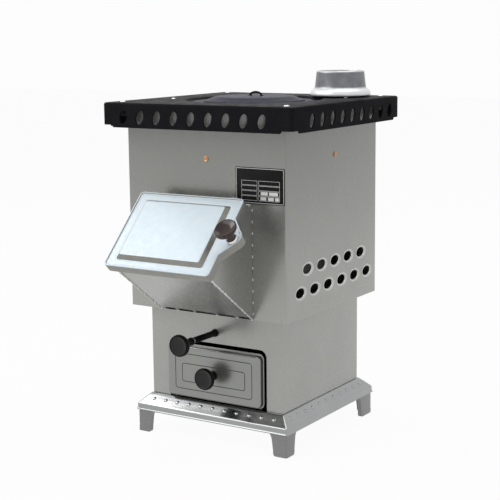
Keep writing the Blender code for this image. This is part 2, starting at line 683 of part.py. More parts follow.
def make_top_plate(stove):
    """The pressed hob plate with its pierced skirt, cooking well, flue pad and screw holes."""
    low = PLATE_Z - SKIRT_HEIGHT
    inner = (PLATE_WIDTH - 2 * PLATE_SHEET,) * 2 + (PLATE_CORNER - PLATE_SHEET,)
    rim = PLATE_WIDTH - 2 * EDGE_SHARE * PLATE_EDGE
    crown = PLATE_WIDTH - 2 * PLATE_EDGE
    plate = finish("top_plate", skin([
        rounded_rectangle(*inner, PLATE_UNDER_Z, 3),
        rounded_rectangle(*inner, low, 3),
        rounded_rectangle(PLATE_WIDTH, PLATE_WIDTH, PLATE_CORNER, low, 3),
        rounded_rectangle(PLATE_WIDTH, PLATE_WIDTH, PLATE_CORNER, PLATE_Z - PLATE_EDGE, 3),
        rounded_rectangle(rim, rim, PLATE_CORNER, PLATE_Z - EDGE_SHARE * PLATE_EDGE, 3),
        rounded_rectangle(crown, crown, PLATE_CORNER, PLATE_Z, 3)]), "black_enamel", stove)
    hem_out = PLATE_HALF - SHEET / 3
    hem_in = hem_out - HEM_SHEET
    reach = PLATE_HALF - HEM_MARGIN
    hems = []
    for side in range(4):
        hem = block((-reach, -hem_out, low - HEM_HEIGHT), (reach, -hem_in, low + HEM_SHEET))
        hem.transform(Matrix.Rotation(side * math.pi / 2, 4, "Z"))
        hems.append(hem)
    pan_low = LEDGE_Z - PLATE_SHEET
    pan = rod((0, 0, pan_low), (0, 0, PLATE_UNDER_Z + SHEET), WELL_RADIUS + PLATE_SHEET, 48)
    boolean(plate, "UNION", pan, *hems)
    well = turned(((0, LEDGE_Z), (RING_RADIUS + SEAT, LEDGE_Z), (RING_RADIUS + SEAT, FLOOR_Z),
                   (WELL_RADIUS - WELL_SLOPE, FLOOR_Z), (WELL_RADIUS, PLATE_Z), (WELL_RADIUS, PLATE_Z + PAST),
                   (0, PLATE_Z + PAST)), 48)
    boolean(plate, "DIFFERENCE", well)
    pad_low = (PLATE_UNDER_Z + FLOOR_Z) / 2
    pad = rod((FLUE_X, FLUE_Y, pad_low), (FLUE_X, FLUE_Y, PLATE_Z), FLUE_SEAT_RADIUS, ROUND)
    boolean(plate, "UNION", pad)
    low, high = pan_low - PAST, PLATE_Z + PAST
    cuts = [rod((0, 0, low), (0, 0, high), RING_RADIUS - RING_LEDGE, 48),
            rod((FLUE_X, FLUE_Y, low), (FLUE_X, FLUE_Y, high), FLUE_HOLE, ROUND)]
    corners = [(x, y) for x in (-SCREW_PLACE, SCREW_PLACE) for y in (-SCREW_PLACE, SCREW_PLACE)]
    for x, y in corners + list(RING_SCREWS):
        cuts.append(rod((x, y, low), (x, y, high), SCREW_SHANK + SEAT, 8))
    shifts = (SKIRT_FRONT_SHIFT, SKIRT_SIDE_SHIFT, SKIRT_BACK_SHIFT, SKIRT_SIDE_SHIFT)
    for number in range(SKIRT_HOLES):
        step = (number - (SKIRT_HOLES - 1) / 2) * SKIRT_HOLE_PITCH
        for side, shift in enumerate(shifts):
            cuts.append(skirt_hole(step + shift, side))
    boolean(plate, "DIFFERENCE", *cuts)


def make_screw(name, place, direction, head, rise, shank, length, look, carrier):
    """A domed screw; its place is under its head, and its shank runs against its direction."""
    profile = [(0, -length), (shank, -length), (shank, 0)] + [
        (head * wide, rise * high) for wide, high in SCREW_DOME]
    finish(name, aimed(turned(profile, 12), place, direction), look, carrier)


def make_plate_fixings(stove):
    """The corner screws with the brackets they draw against the casing, and two plain screws."""
    under = PLATE_UNDER_Z - SEAT
    wall = UPPER_HALF + SEAT
    for side_x, side_y, name in ((-1, -1, "front_left"), (1, -1, "front_right"),
                                 (-1, 1, "back_left"), (1, 1, "back_right")):
        spot = Vector((side_x * SCREW_PLACE, side_y * SCREW_PLACE, PLATE_Z + SEAT))
        make_screw("plate_screw_" + name, spot, (0, 0, 1), SCREW_HEAD, SCREW_RISE, SCREW_SHANK,
                   PLATE_THICK + 2 * BRACKET_SHEET + 2 * SEAT, "bright_steel", stove)
        angle = ((wall, under), (wall + BRACKET_DEPTH, under), (wall + BRACKET_DEPTH, under - BRACKET_SHEET),
                 (wall + BRACKET_SHEET, under - BRACKET_SHEET), (wall + BRACKET_SHEET, under - BRACKET_DROP),
                 (wall, under - BRACKET_DROP))
        bracket = finish("plate_bracket_" + name, prism(
            [(side_y * y, z) for y, z in angle], "x", side_x * (BRACKET_END - BRACKET_LENGTH),
            side_x * BRACKET_END), "inner_steel", stove)
        boolean(bracket, "DIFFERENCE", rod(spot - Vector((0, 0, BRACKET_DROP)), spot, SCREW_SHANK + SEAT, 8))
    for name, (x, y) in zip(("hob_screw_right", "hob_screw_left"), RING_SCREWS):
        make_screw(name, (x, y, PLATE_Z + SEAT), (0, 0, 1), RING_SCREW_HEAD, RING_SCREW_RISE, SCREW_SHANK,
                   PLATE_THICK + BRACKET_SHEET, "bright_steel", stove)


def make_hob(stove):
    """The loose hob ring in the plate's well, and the raised lid with its bail on the ring."""
    ring = empty("hob_ring_lift", (0, 0, LEDGE_Z), stove)
    finish("hob_ring", tube((0, 0, LEDGE_Z + SEAT), (0, 0, FLOOR_Z), RING_RADIUS, RING_BORE, 48),
           "cast_iron", ring)
    lid = empty("hob_lid_lift", (0, 0, LID_Z), ring)
    spigot = RING_BORE - LID_SPIGOT_PLAY
    top = LID_Z + LID_RISE
    finish("hob_lid", turned((
        (0, LID_Z - LID_SPIGOT), (spigot, LID_Z - LID_SPIGOT), (spigot, LID_Z), (LID_RADIUS, LID_Z),
        (LID_RADIUS, LID_Z + LID_EDGE_THICK), (LID_TOP_RADIUS, top - LID_CROWN_DROP),
        (LID_TOP_RADIUS - LID_CROWN, top),
        (0, top)), 48), "cast_iron", lid)
    base = top + SEAT
    rings = []
    for step in range(9):
        angle = math.pi * step / 8
        centre = Vector((HANDLE_SPAN / 2 * math.cos(angle), 0, base + HANDLE_RISE * math.sin(angle)))
        outwards = Vector((math.cos(angle), 0, math.sin(angle)))
        rings.append([centre + HANDLE_BAR * (outwards * math.cos(turn) + Vector((0, 1, 0)) * math.sin(turn))
                      for turn in (math.pi / 4 * side for side in range(8))])
    finish("hob_lid_handle", skin(rings), "cast_iron", lid)


def make_flue(stove):
    """The flue's seat ring on the plate, and the cast collar that takes the pipe."""
    bore = FLUE_HOLE + FLUE_WALL
    seat = tube((FLUE_X, FLUE_Y, SEAT_Z), (FLUE_X, FLUE_Y, SEAT_Z + FLUE_SEAT_HEIGHT), FLUE_SEAT_RADIUS,
                bore, ROUND)
    finish("flue_seat_ring", seat, "cast_iron", stove)
    bulge, tall, foot, rim = FLUE_BULGE_RADIUS, FLUE_BULGE_HEIGHT, FLUE_FOOT_RADIUS, FLUE_RIM_RADIUS
    flare = [(bulge - (bulge - foot) * wide, tall * high) for wide, high in FLUE_FLARE]
    lip = [(rim - inwards, FLUE_HEIGHT - drop) for inwards, drop in FLUE_LIP]
    profile = [(FLUE_BASE_BORE, 0), (FLUE_BASE_RADIUS, 0), (bulge, FLUE_BASE_EDGE)] + flare + [
        (foot, tall)] + lip + [(rim - FLUE_WALL, FLUE_HEIGHT), (foot - FLUE_WALL, tall),
                               (foot - FLUE_WALL, FLUE_WALL), (FLUE_BASE_BORE, FLUE_WALL)]
    collar = turned(profile, ROUND, hollow=True)
    collar.transform(Matrix.Translation((FLUE_X, FLUE_Y, COLLAR_Z)))
    finish("flue_collar", collar, "flue_casting", stove)


def make_hopper(stove):
    """The feed hopper's folded body, tacked to the casing between slots along its bottom edge."""
    half = HOPPER_WIDTH / 2
    back = UPPER_FRONT - SEAT
    low = Vector((0, back, UPPER_Z))
    slope = (MOUTH_LOW - low).normalized()
    inwards = Vector((0, -slope.z, slope.y)) * -SHEET
    outline = ((back, low.z), (MOUTH_LOW.y, MOUTH_LOW.z), (MOUTH_TOP.y, MOUTH_TOP.z), (back, MOUTH_TOP.z))
    body = finish("hopper_body", prism(outline, "x", -half, half), "galvanised_sheet", stove)
    start = low + inwards - slope * 3 * PAST
    end = MOUTH_LOW + inwards + slope * 3 * PAST
    roof = MOUTH_TOP.z - SHEET
    inside = ((start.y, start.z), (end.y, end.z), (end.y, roof), (start.y, roof))
    boolean(body, "DIFFERENCE", prism(inside, "x", SHEET - half, half - SHEET))
    pitch = (HOPPER_WIDTH - HOPPER_TACK) / HOPPER_SLOTS
    slots = []
    for number in range(HOPPER_SLOTS):
        x = -half + HOPPER_TACK + number * pitch
        slots.append(block((x, back - HOPPER_SLOT_HEIGHT, low.z - PAST),
                           (x + pitch - HOPPER_TACK, back + PAST, low.z + HOPPER_SLOT_RISE)))
    boolean(body, "DIFFERENCE", *slots)


def make_hinge(stove):
    """The hinge pin, and the two lugs on the hopper's roof that hold it."""
    finish("hinge_pin", rod((-HINGE_PIN_LENGTH / 2, HINGE.y, HINGE.z), (HINGE_PIN_LENGTH / 2, HINGE.y, HINGE.z),
                            HINGE_PIN_RADIUS, 12), "bright_steel", stove)
    roof = MOUTH_TOP.z + SEAT
    reach = HINGE_BARREL + LUG_MARGIN
    crown = [(HINGE.y + reach * math.cos(step * math.pi / 6), HINGE.z + reach * math.sin(step * math.pi / 6))
             for step in range(7)]
    outline = [(HINGE.y - reach, roof), (HINGE.y + reach + LUG_FOOT, roof)] + crown
    for side, name in ((-1, "hinge_lug_left"), (1, "hinge_lug_right")):
        low, high = side * LUG_X - LUG_SHEET / 2, side * LUG_X + LUG_SHEET / 2
        lug = finish(name, prism(outline, "x", low, high), "galvanised_sheet", stove)
        boolean(lug, "DIFFERENCE", rod((low - PAST, HINGE.y, HINGE.z), (high + PAST, HINGE.y, HINGE.z),
                                       HINGE_PIN_RADIUS + SEAT, 12))


def cover_plan(inset, height, steps=4):
    """The hopper lid's outline in its slope's frame, drawn in by an inset."""
    return rounded_rectangle(COVER_WIDTH - 2 * inset, COVER_LENGTH - 2 * inset, COVER_CORNER - inset / 2,
                             height, steps, (0, -COVER_LENGTH / 2))


def ear_shape():
    """The tab on the lid's right side that carries its knob, in the slope's frame."""
    side = COVER_WIDTH / 2
    knob_x = side + EAR_REACH
    round_end = [(knob_x + EAR_RADIUS * math.cos(angle), -EAR_MIDDLE + EAR_RADIUS * math.sin(angle))
                 for angle in (math.radians(step) for step in range(-EAR_SWEEP, EAR_SWEEP + 1, 15))]
    outline = [(side - COVER_SHEET / 2, -EAR_MIDDLE - EAR_ROOT / 2)] + [
        (side, -EAR_MIDDLE - EAR_ROOT / 2)] + round_end + [
        (side, -EAR_MIDDLE + EAR_ROOT / 2), (side - COVER_SHEET / 2, -EAR_MIDDLE + EAR_ROOT / 2)]
    return prism(outline, "z", -COVER_SKIRT, -EAR_DROP)


def make_cover(stove):
    """The hopper's cast lid with its panel, ear and hinge knuckles, and the seal under it."""
    pivot = empty("hopper_lid_hinge", HINGE, stove)
    to_slope = SLOPE_FRAME.inverted()
    shell = skin([cover_plan(COVER_SHEET, -COVER_SHEET), cover_plan(COVER_SHEET, -COVER_SKIRT),
                  cover_plan(0, -COVER_SKIRT), cover_plan(0, -COVER_EDGE),
                  cover_plan(COVER_CHAMFER, -COVER_CHAMFER), cover_plan(COVER_EDGE, 0)])
    shell.transform(SLOPE_FRAME)
    lid = finish("hopper_lid", shell, "cast_aluminium", pivot)
    middle = (0, -(PANEL_START + PANEL_END) / 2)
    size = (PANEL_WIDTH, PANEL_END - PANEL_START)
    crown = (PANEL_WIDTH - 2 * PANEL_BEVEL, PANEL_END - PANEL_START - 2 * PANEL_BEVEL)
    panel = skin([rounded_rectangle(*size, PANEL_CORNER, -SHEET, 2, middle),
                  rounded_rectangle(*size, PANEL_CORNER, 0, 2, middle),
                  rounded_rectangle(*crown, PANEL_CORNER, PANEL_RISE, 2, middle)])
    axis = to_slope @ HINGE
    barrel = [(axis.y + HINGE_BARREL * math.cos(angle), axis.z + HINGE_BARREL * math.sin(angle))
              for angle in (math.radians(step) for step in range(-150, 31, 30))]
    arm = [(-COVER_SHEET / 2, -COVER_SKIRT / 2), (-COVER_SHEET / 2, -COVER_SKIRT + SHEET)] + barrel + [
        (axis.y + HINGE_ARM, -COVER_SKIRT / 2)]
    knuckles = [prism(arm, "x", side * KNUCKLE_X - KNUCKLE_WIDTH / 2, side * KNUCKLE_X + KNUCKLE_WIDTH / 2)
                for side in (-1, 1)]
    extra = [panel, ear_shape()] + knuckles
    for shape in extra:
        shape.transform(SLOPE_FRAME)
    boolean(lid, "UNION", *extra)
    knob_axis = Vector((COVER_WIDTH / 2 + EAR_REACH, -COVER_KNOB_PLACE, 0))
    stud_hole = rod(SLOPE_FRAME @ (knob_axis - Vector((0, 0, COVER_SKIRT + PAST))),
                    SLOPE_FRAME @ (knob_axis + Vector((0, 0, PAST))), STUD_RADIUS + SEAT, 12)
    bore = HINGE_PIN_RADIUS + SEAT
    pin_holes = [rod((side * KNUCKLE_X - KNUCKLE_WIDTH, HINGE.y, HINGE.z),
                     (side * KNUCKLE_X + KNUCKLE_WIDTH, HINGE.y, HINGE.z), bore, 12) for side in (-1, 1)]
    boolean(lid, "DIFFERENCE", stud_hole, *pin_holes)
    make_seal(pivot)
    make_cover_knob(pivot, knob_axis)


def make_seal(pivot):
    """The fibre seal inside the lid, which meets the hopper's mouth."""
    length = MOUTH_END - MOUTH_START
    middle = (0, -(MOUTH_START + MOUTH_END) / 2)
    low, high = -MOUTH_DROP + SEAT, -COVER_SHEET - SEAT
    outer = (HOPPER_WIDTH, length, SEAL_CORNER)
    inner = (HOPPER_WIDTH - 2 * SEAL_WIDTH, length - 2 * SEAL_WIDTH, SEAL_CORNER / 2)
    seal = skin([rounded_rectangle(*outer, low, 2, middle), rounded_rectangle(*outer, high, 2, middle),
                 rounded_rectangle(*inner, high, 2, middle), rounded_rectangle(*inner, low, 2, middle)],
                ring=True)
    seal.transform(SLOPE_FRAME)
    finish("lid_seal", seal, "fibre_seal", pivot)


def knob(radius, length, neck, bore):
    """A mushroom knob standing on Z = 0, with a blind hole for its stud."""
    depth = length * KNOB_HOLE
    stem = [(neck * wide, length * high) for wide, high in KNOB_NECK_LINE]
    head = [(radius * wide, length * high) for wide, high in KNOB_HEAD_LINE]
    return turned([(0, depth), (bore, depth), (bore, 0)] + stem + head, 20)


def make_cover_knob(pivot, knob_axis):
    """The lid's knob, its bright ferrule, and the screw up through the ear."""
    base = SLOPE_FRAME @ (knob_axis + Vector((0, 0, SEAT - EAR_DROP)))
    bore = STUD_RADIUS + SEAT
    finish("lid_knob_ferrule", tube(base, base + OUT * FERRULE_HEIGHT, FERRULE_RADIUS, bore), "bright_steel",
           pivot)
    seat = base + OUT * (FERRULE_HEIGHT + SEAT)
    finish("lid_knob", aimed(knob(COVER_KNOB_RADIUS, COVER_KNOB_LENGTH, KNOB_NECK, bore), seat, OUT),
           "brown_bakelite", pivot)
    under = SLOPE_FRAME @ (knob_axis - Vector((0, 0, COVER_SKIRT + SEAT)))
    length = COVER_SKIRT + FERRULE_HEIGHT + STUD_GRIP * COVER_KNOB_LENGTH
    make_screw("lid_knob_screw", under, -OUT, STUD_HEAD, STUD_HEAD_THICK, STUD_RADIUS, length, "bright_steel",
               pivot)


def make_nameplate(stove):
    """The bare dark plate at the casing's top right."""
    right = UPPER_HALF - NAMEPLATE_EDGE
    low = UPPER_Z + NAMEPLATE_BOTTOM
    outline = rounded_rectangle(NAMEPLATE_WIDTH, NAMEPLATE_HEIGHT, NAMEPLATE_CORNER, 0, 2,
                                (right - NAMEPLATE_WIDTH / 2, low + NAMEPLATE_HEIGHT / 2))
    front = UPPER_FRONT - SEAT
    finish("nameplate", prism([(point.x, point.y) for point in outline], "y", front - NAMEPLATE_THICK, front),
           "black_enamel", stove)


def make_brass_screws(stove):
    """Four brass screws through the casing into the smoke pan's flange."""
    for name, place, outwards in brass_places():
        make_screw("brass_screw_" + name, place, outwards, BRASS_HEAD, BRASS_RISE, BRASS_SHANK,
                   BRASS_LENGTH, "brass", stove)


def front_shape(sections, x, y, z):
    """A skin whose sections lie flat, stood up so that it faces the front."""
    shape = skin(sections)
    shape.transform(Matrix.Translation((x, y, z)) @ FRONT_TURN)
    return shape


def press_line(size, x, z):
    """A shallow pressed line round a rectangle on the drawer's face."""
    width, height = size
    outer = rounded_rectangle(width, height, PRESS_CORNER, 0, 3)
    inner = rounded_rectangle(width - 2 * PRESS_WIDTH, height - 2 * PRESS_WIDTH,
                              PRESS_CORNER - PRESS_WIDTH, 0, 3)
    lift = Vector((0, 0, PAST))
    ring = skin([outer, [point + lift for point in outer], [point + lift for point in inner], inner], ring=True)
    ring.transform(Matrix.Translation((x, DRAWER_FACE + PRESS_DEPTH, z)) @ FRONT_TURN)
    return ring


def make_drawer(stove):
    """The ash drawer: its pressed front, its box, and its knob on a screw."""
    slide = empty("ash_drawer_slide", (DRAWER_SHIFT, DRAWER_FACE, DRAWER_Z), stove)
    width, height, corner = DRAWER_WIDTH, DRAWER_HEIGHT, DRAWER_CORNER
    depth, edge, thin = DRAWER_PAN_DEPTH, DRAWER_EDGE, 2 * SHEET
    turn_in = EDGE_SHARE * edge
    middle = (DRAWER_SHIFT, DRAWER_FACE + depth, DRAWER_Z + height / 2)
    front = finish("drawer_front", front_shape([
        rounded_rectangle(width - thin, height - thin, corner - SHEET, depth - SHEET, 4),
        rounded_rectangle(width - thin, height - thin, corner - SHEET, 0, 4),
        rounded_rectangle(width, height, corner, 0, 4),
        rounded_rectangle(width, height, corner, depth - edge, 4),
        rounded_rectangle(width - 2 * turn_in, height - 2 * turn_in, corner, depth - turn_in, 4),
        rounded_rectangle(width - 2 * edge, height - 2 * edge, corner - edge / 2, depth, 4)], *middle),
        "galvanised_sheet", slide)
    knob_place = Vector((DRAWER_SHIFT, DRAWER_FACE - SEAT, DRAWER_KNOB_Z))
    stud = Vector((0, 3 * PAST, 0))
    stud_hole = STUD_RADIUS + SEAT
    boolean(front, "DIFFERENCE", press_line(PRESS_OUTER, DRAWER_SHIFT, DRAWER_Z + PRESS_MIDDLE),
            press_line(PRESS_INNER, DRAWER_SHIFT, DRAWER_Z + PRESS_MIDDLE),
            rod(knob_place - stud, knob_place + stud, stud_hole, 12))
    box_width, box_depth = DRAWER_BOX_WIDTH, DRAWER_BOX_DEPTH
    box_middle = (DRAWER_SHIFT, DRAWER_BOX_FRONT + box_depth / 2)
    low, high = BOX_Z, BOX_Z + DRAWER_BOX_HEIGHT
    hollow = (box_width - thin, box_depth - thin, CASING_CORNER - SHEET)
    box = finish("drawer_box", skin([
        rounded_rectangle(*hollow, low + SHEET, 2, box_middle),
        rounded_rectangle(*hollow, high, 2, box_middle),
        rounded_rectangle(box_width, box_depth, CASING_CORNER, high, 2, box_middle),
        rounded_rectangle(box_width, box_depth, CASING_CORNER, low, 2, box_middle)]), "inner_steel", slide)
    boolean(box, "DIFFERENCE", rod(knob_place - stud, knob_place + stud, stud_hole, 12))
    finish("drawer_knob", aimed(knob(DRAWER_KNOB_RADIUS, DRAWER_KNOB_LENGTH, KNOB_NECK, stud_hole), knob_place,
                                (0, -1, 0)), "black_bakelite", slide)
    inside = Vector((DRAWER_SHIFT, DRAWER_BOX_FRONT + SHEET + SEAT, DRAWER_KNOB_Z))
    length = inside.y - knob_place.y + STUD_GRIP * DRAWER_KNOB_LENGTH
    make_screw("drawer_knob_screw", inside, (0, 1, 0), STUD_HEAD, STUD_HEAD_THICK, STUD_RADIUS, length,
               "bright_steel", slide)


def make_runners(stove):
    """Two runners on the tray, whose shelves carry the drawer's box and whose walls guide it."""
    low = DECK_Z + SEAT
    shelf = BOX_Z - SEAT
    box_side = DRAWER_BOX_WIDTH / 2 + RUNNER_PLAY
    section = ((box_side, low), (box_side + RUNNER_SHEET, low),
               (box_side + RUNNER_SHEET, low + RUNNER_HEIGHT), (box_side, low + RUNNER_HEIGHT),
               (box_side, shelf), (box_side - RUNNER_FLOOR, shelf),
               (box_side - RUNNER_FLOOR, shelf - RUNNER_SHEET), (box_side, shelf - RUNNER_SHEET))
    front = LOWER_FRONT + 2 * SHEET
    for side, name in ((-1, "drawer_runner_left"), (1, "drawer_runner_right")):
        outline = [(DRAWER_SHIFT + side * x, z) for x, z in section]
        finish(name, prism(outline, "y", front, DRAWER_BOX_FRONT + DRAWER_BOX_DEPTH), "inner_steel", stove)


def make_shaker(stove):
    """The shaker: knob, collar, sleeve and rod outside, and the sliding grate that they rock inside."""
    slide = empty("grate_shaker_slide", (ROD_X, LOWER_FRONT, ROD_Z), stove)

    def on_axis(y):
        """A point on the rod's axis."""
        return Vector((ROD_X, y, ROD_Z))

    sleeve = LOWER_FRONT - SEAT
    collar = sleeve - SLEEVE_LENGTH - SEAT
    knob_seat = collar - COLLAR_LENGTH - SEAT
    bore = ROD_RADIUS + SEAT
    finish("shaker_sleeve", tube(on_axis(sleeve), on_axis(sleeve - SLEEVE_LENGTH), SLEEVE_RADIUS, bore),
           "black_bakelite", slide)
    finish("shaker_collar", tube(on_axis(collar), on_axis(collar - COLLAR_LENGTH), COLLAR_RADIUS, bore),
           "bright_steel", slide)
    finish("shaker_knob", aimed(knob(SHAKER_KNOB_RADIUS, SHAKER_KNOB_LENGTH, KNOB_NECK, bore),
                                on_axis(knob_seat), (0, -1, 0)), "black_bakelite", slide)
    finish("shaker_rod", rod(on_axis(knob_seat - STUD_GRIP * SHAKER_KNOB_LENGTH),
                             on_axis(-GRATE_DEPTH / 2 - SEAT), ROD_RADIUS), "inner_steel", slide)
    low, high = GRATE_LOW_Z, GRATE_LOW_Z + GRATE_THICK
    half_x, half_y = GRATE_WIDTH / 2, GRATE_DEPTH / 2
    grate = finish("sliding_grate", block((-half_x, -half_y, low), (half_x, half_y, high)), "cast_iron", slide)
    pitch = (GRATE_WIDTH - 2 * GRATE_MARGIN - GRATE_SLOT) / (GRATE_SLOTS - 1)
    slots = []
    for number in range(GRATE_SLOTS):
        x = (number - (GRATE_SLOTS - 1) / 2) * pitch
        slots.append(block((x - GRATE_SLOT / 2, GRATE_MARGIN - half_y, low - PAST),
                           (x + GRATE_SLOT / 2, half_y - GRATE_MARGIN, high + PAST)))
    boolean(grate, "DIFFERENCE", *slots)


def make_bush(stove):
    """The flanged bush that guides the shaker rod through the casing."""
    bore = ROD_RADIUS + SEAT
    face = SHEET + SEAT
    bush = turned(((bore, 0), (BUSH_RADIUS, 0), (BUSH_RADIUS, face), (BUSH_FLANGE_RADIUS, face),
                   (BUSH_FLANGE_RADIUS, face + BUSH_FLANGE), (bore, face + BUSH_FLANGE)), hollow=True)
    finish("rod_bush", aimed(bush, (ROD_X, LOWER_FRONT, ROD_Z), (0, 1, 0)), "bright_steel", stove)


def make_hearth(stove):
    """The hearth plate, and the two rails on the casing's walls that carry it and the sliding grate."""
    shelf = GRATE_LOW_Z - SEAT
    top = HEARTH_Z - SEAT
    wall, thick = LOWER_INSIDE, RAIL_SHEET
    outline = ((wall, shelf - thick), (wall, top), (wall - RAIL_TOP_SHELF, top),
               (wall - RAIL_TOP_SHELF, top - thick), (wall - thick, top - thick), (wall - thick, shelf),
               (wall - RAIL_SHELF, shelf), (wall - RAIL_SHELF, shelf - thick))
    end = RAIL_LENGTH / 2
    for side, name in ((-1, "grate_rail_left"), (1, "grate_rail_right")):
        finish(name, prism([(side * x, z) for x, z in outline], "y", -end, end), "inner_steel", stove)
    hearth = finish("hearth_plate", block((-wall, -end, HEARTH_Z), (wall, end, HEARTH_Z + HEARTH_THICK)),
                    "cast_iron", stove)
    hole = HEARTH_HOLE / 2
    boolean(hearth, "DIFFERENCE", block((-hole, -hole, HEARTH_Z - PAST), (hole, hole, FIRE_Z + PAST)))


def drill_nozzles(piece):
    """Bore the air nozzles through a piece, two ways in each direction."""
    z = AIR_RING_Z + AIR_RING_THICK / 2
    for axis in (0, 1):
        rods = []
        for side in (-1, 1):
            start = Vector((side * NOZZLE_SPREAD, -FIRE_WIDTH, z))
            end = Vector((side * NOZZLE_SPREAD, FIRE_WIDTH, z))
            if axis:
                start.xy, end.xy = start.yx, end.yx
            rods.append(rod(start, end, NOZZLE_RADIUS, 10))
        boolean(piece, "DIFFERENCE", *rods)


def make_fire_box(stove):
    """The fire box on the hearth, with its bricks and air ring inside, and the smoke pan over it."""
    inner = (FIRE_WIDTH - 2 * FIRE_WALL,) * 2 + (FIRE_CORNER - FIRE_WALL,)
    outer = (FIRE_WIDTH, FIRE_WIDTH, FIRE_CORNER)
    box = finish("fire_box", skin([
        rounded_rectangle(*outer, FIRE_Z), rounded_rectangle(*outer, FIRE_TOP_Z),
        rounded_rectangle(*inner, FIRE_TOP_Z), rounded_rectangle(*inner, FIRE_Z)], ring=True),
        "inner_steel", stove)
    front = -FIRE_WIDTH / 2
    boolean(box, "DIFFERENCE", block((-FEED_WIDTH / 2, front - PAST, FEED_Z),
                                     (FEED_WIDTH / 2, front + 2 * FIRE_WALL, FEED_TOP_Z)))
    drill_nozzles(box)
    brick_top = FIRE_Z + BRICK_HEIGHT
    inside, face = FIRE_INSIDE, FIRE_INSIDE - BRICK_THICK
    for side, name in ((-1, "fire_brick_left"), (1, "fire_brick_right")):
        finish(name, block((side * face, -inside, FIRE_Z), (side * inside, inside, brick_top)),
               "fire_brick", stove)
    finish("fire_brick_back", block((SEAT - face, face, FIRE_Z), (face - SEAT, inside, brick_top)),
           "fire_brick", stove)
    ring_top = AIR_RING_Z + AIR_RING_THICK
    ring = finish("air_ring", block((-inside, -inside, AIR_RING_Z), (inside, inside, ring_top)),
                  "cast_iron", stove)
    boolean(ring, "DIFFERENCE", rod((0, 0, AIR_RING_Z - PAST), (0, 0, ring_top + PAST), AIR_RING_BORE, ROUND))
    drill_nozzles(ring)


def duct_end(y, half, low, high):
    """The corners of one end of the feed chute."""
    return [Vector((-half, y, low)), Vector((half, y, low)), Vector((half, y, high)), Vector((-half, y, high))]


def make_chute(stove):
    """The tapered chute that leads wood from the casing's opening to the fire box."""
    casing = SHEET + SEAT - UPPER_HALF
    fire = -FIRE_WIDTH / 2 - SEAT
    half = HOPPER_WIDTH / 2 - SHEET - CHUTE_PLAY
    low, high = UPPER_Z + 2 * SHEET + CHUTE_PLAY, MOUTH_TOP.z - SHEET - CHUTE_PLAY
    thin = CHUTE_SHEET
    finish("feed_chute", skin([
        duct_end(casing, half, low, high),
        duct_end(fire, FEED_WIDTH / 2 + thin, FEED_Z - thin, FEED_TOP_Z + thin),
        duct_end(fire, FEED_WIDTH / 2, FEED_Z, FEED_TOP_Z),
        duct_end(casing, half - thin, low + thin, high - thin)], ring=True), "inner_steel", stove)


def make_smoke_pan(stove):
    """The pan across the casing, above the fire box, that turns the smoke under the hob plate."""
    size = UPPER_WIDTH - 2 * SHEET - 2 * SEAT
    inner = (size - 2 * PAN_SHEET,) * 2 + (PAN_CORNER - PAN_SHEET,)
    pan = finish("smoke_pan", skin([
        rounded_rectangle(*inner, PAN_Z + PAN_SHEET), rounded_rectangle(*inner, PAN_Z + PAN_FLANGE),
        rounded_rectangle(size, size, PAN_CORNER, PAN_Z + PAN_FLANGE),
        rounded_rectangle(size, size, PAN_CORNER, PAN_Z)]), "inner_steel", stove)
    boolean(pan, "DIFFERENCE", rod((0, 0, PAN_Z - PAST), (0, 0, PAN_Z + PAST), PAN_HOLE, ROUND),
            *brass_holes())


def main():
    """Build the stove."""
    remove_objects()
    make_looks()
    stove = empty("stove", (0, STOVE_SHIFT, 0))
    make_tray(stove)
    make_legs(stove)
    make_lower_casing(stove)
    make_upper_casing(stove)
    make_top_plate(stove)
    make_plate_fixings(stove)
    make_hob(stove)
    make_flue(stove)
    make_hopper(stove)
    make_hinge(stove)
    make_cover(stove)
    make_nameplate(stove)
    make_brass_screws(stove)
    make_drawer(stove)
    make_runners(stove)
    make_shaker(stove)
    make_bush(stove)
    make_hearth(stove)
    make_fire_box(stove)
    make_chute(stove)
    make_smoke_pan(stove)


main()
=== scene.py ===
"""Looks for the wood gasifier stove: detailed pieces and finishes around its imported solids."""
import logging
import math
from dataclasses import dataclass
from enum import Enum
from typing import Sequence

import bmesh
import bpy
from bmesh.types import BMEdge, BMesh, BMFace, BMVert
from bpy.types import ID, Material, Node, NodeSocket, NodeTree, Object
from mathutils import Matrix, Vector

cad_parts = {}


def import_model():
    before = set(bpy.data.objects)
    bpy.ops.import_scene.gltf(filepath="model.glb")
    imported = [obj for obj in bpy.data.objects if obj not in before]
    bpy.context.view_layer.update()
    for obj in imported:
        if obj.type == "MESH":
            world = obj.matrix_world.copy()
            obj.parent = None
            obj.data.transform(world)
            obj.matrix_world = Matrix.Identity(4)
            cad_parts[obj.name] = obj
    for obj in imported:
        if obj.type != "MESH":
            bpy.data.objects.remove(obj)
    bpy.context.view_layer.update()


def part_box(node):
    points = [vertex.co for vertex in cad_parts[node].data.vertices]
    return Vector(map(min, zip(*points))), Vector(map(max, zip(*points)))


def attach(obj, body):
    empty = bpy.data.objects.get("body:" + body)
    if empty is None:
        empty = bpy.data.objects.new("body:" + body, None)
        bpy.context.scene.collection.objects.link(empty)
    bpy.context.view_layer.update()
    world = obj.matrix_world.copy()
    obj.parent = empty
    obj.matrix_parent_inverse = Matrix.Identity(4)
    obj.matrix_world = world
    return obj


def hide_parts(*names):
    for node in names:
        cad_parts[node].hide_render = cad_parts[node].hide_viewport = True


LOG = logging.getLogger("stove")
MM = 0.001
PREFIX = "finish_"      # keeps the finishes' names apart from the record's slots
STOVE = "stove_body"
CORNERS = ((-1, -1, "front_left"), (1, -1, "front_right"), (-1, 1, "back_left"), (1, 1, "back_right"))
QUARTERS = (0, 90, 180, 270)
Pair = tuple[float, float]
Triple = tuple[float, float, float]


# Shaping

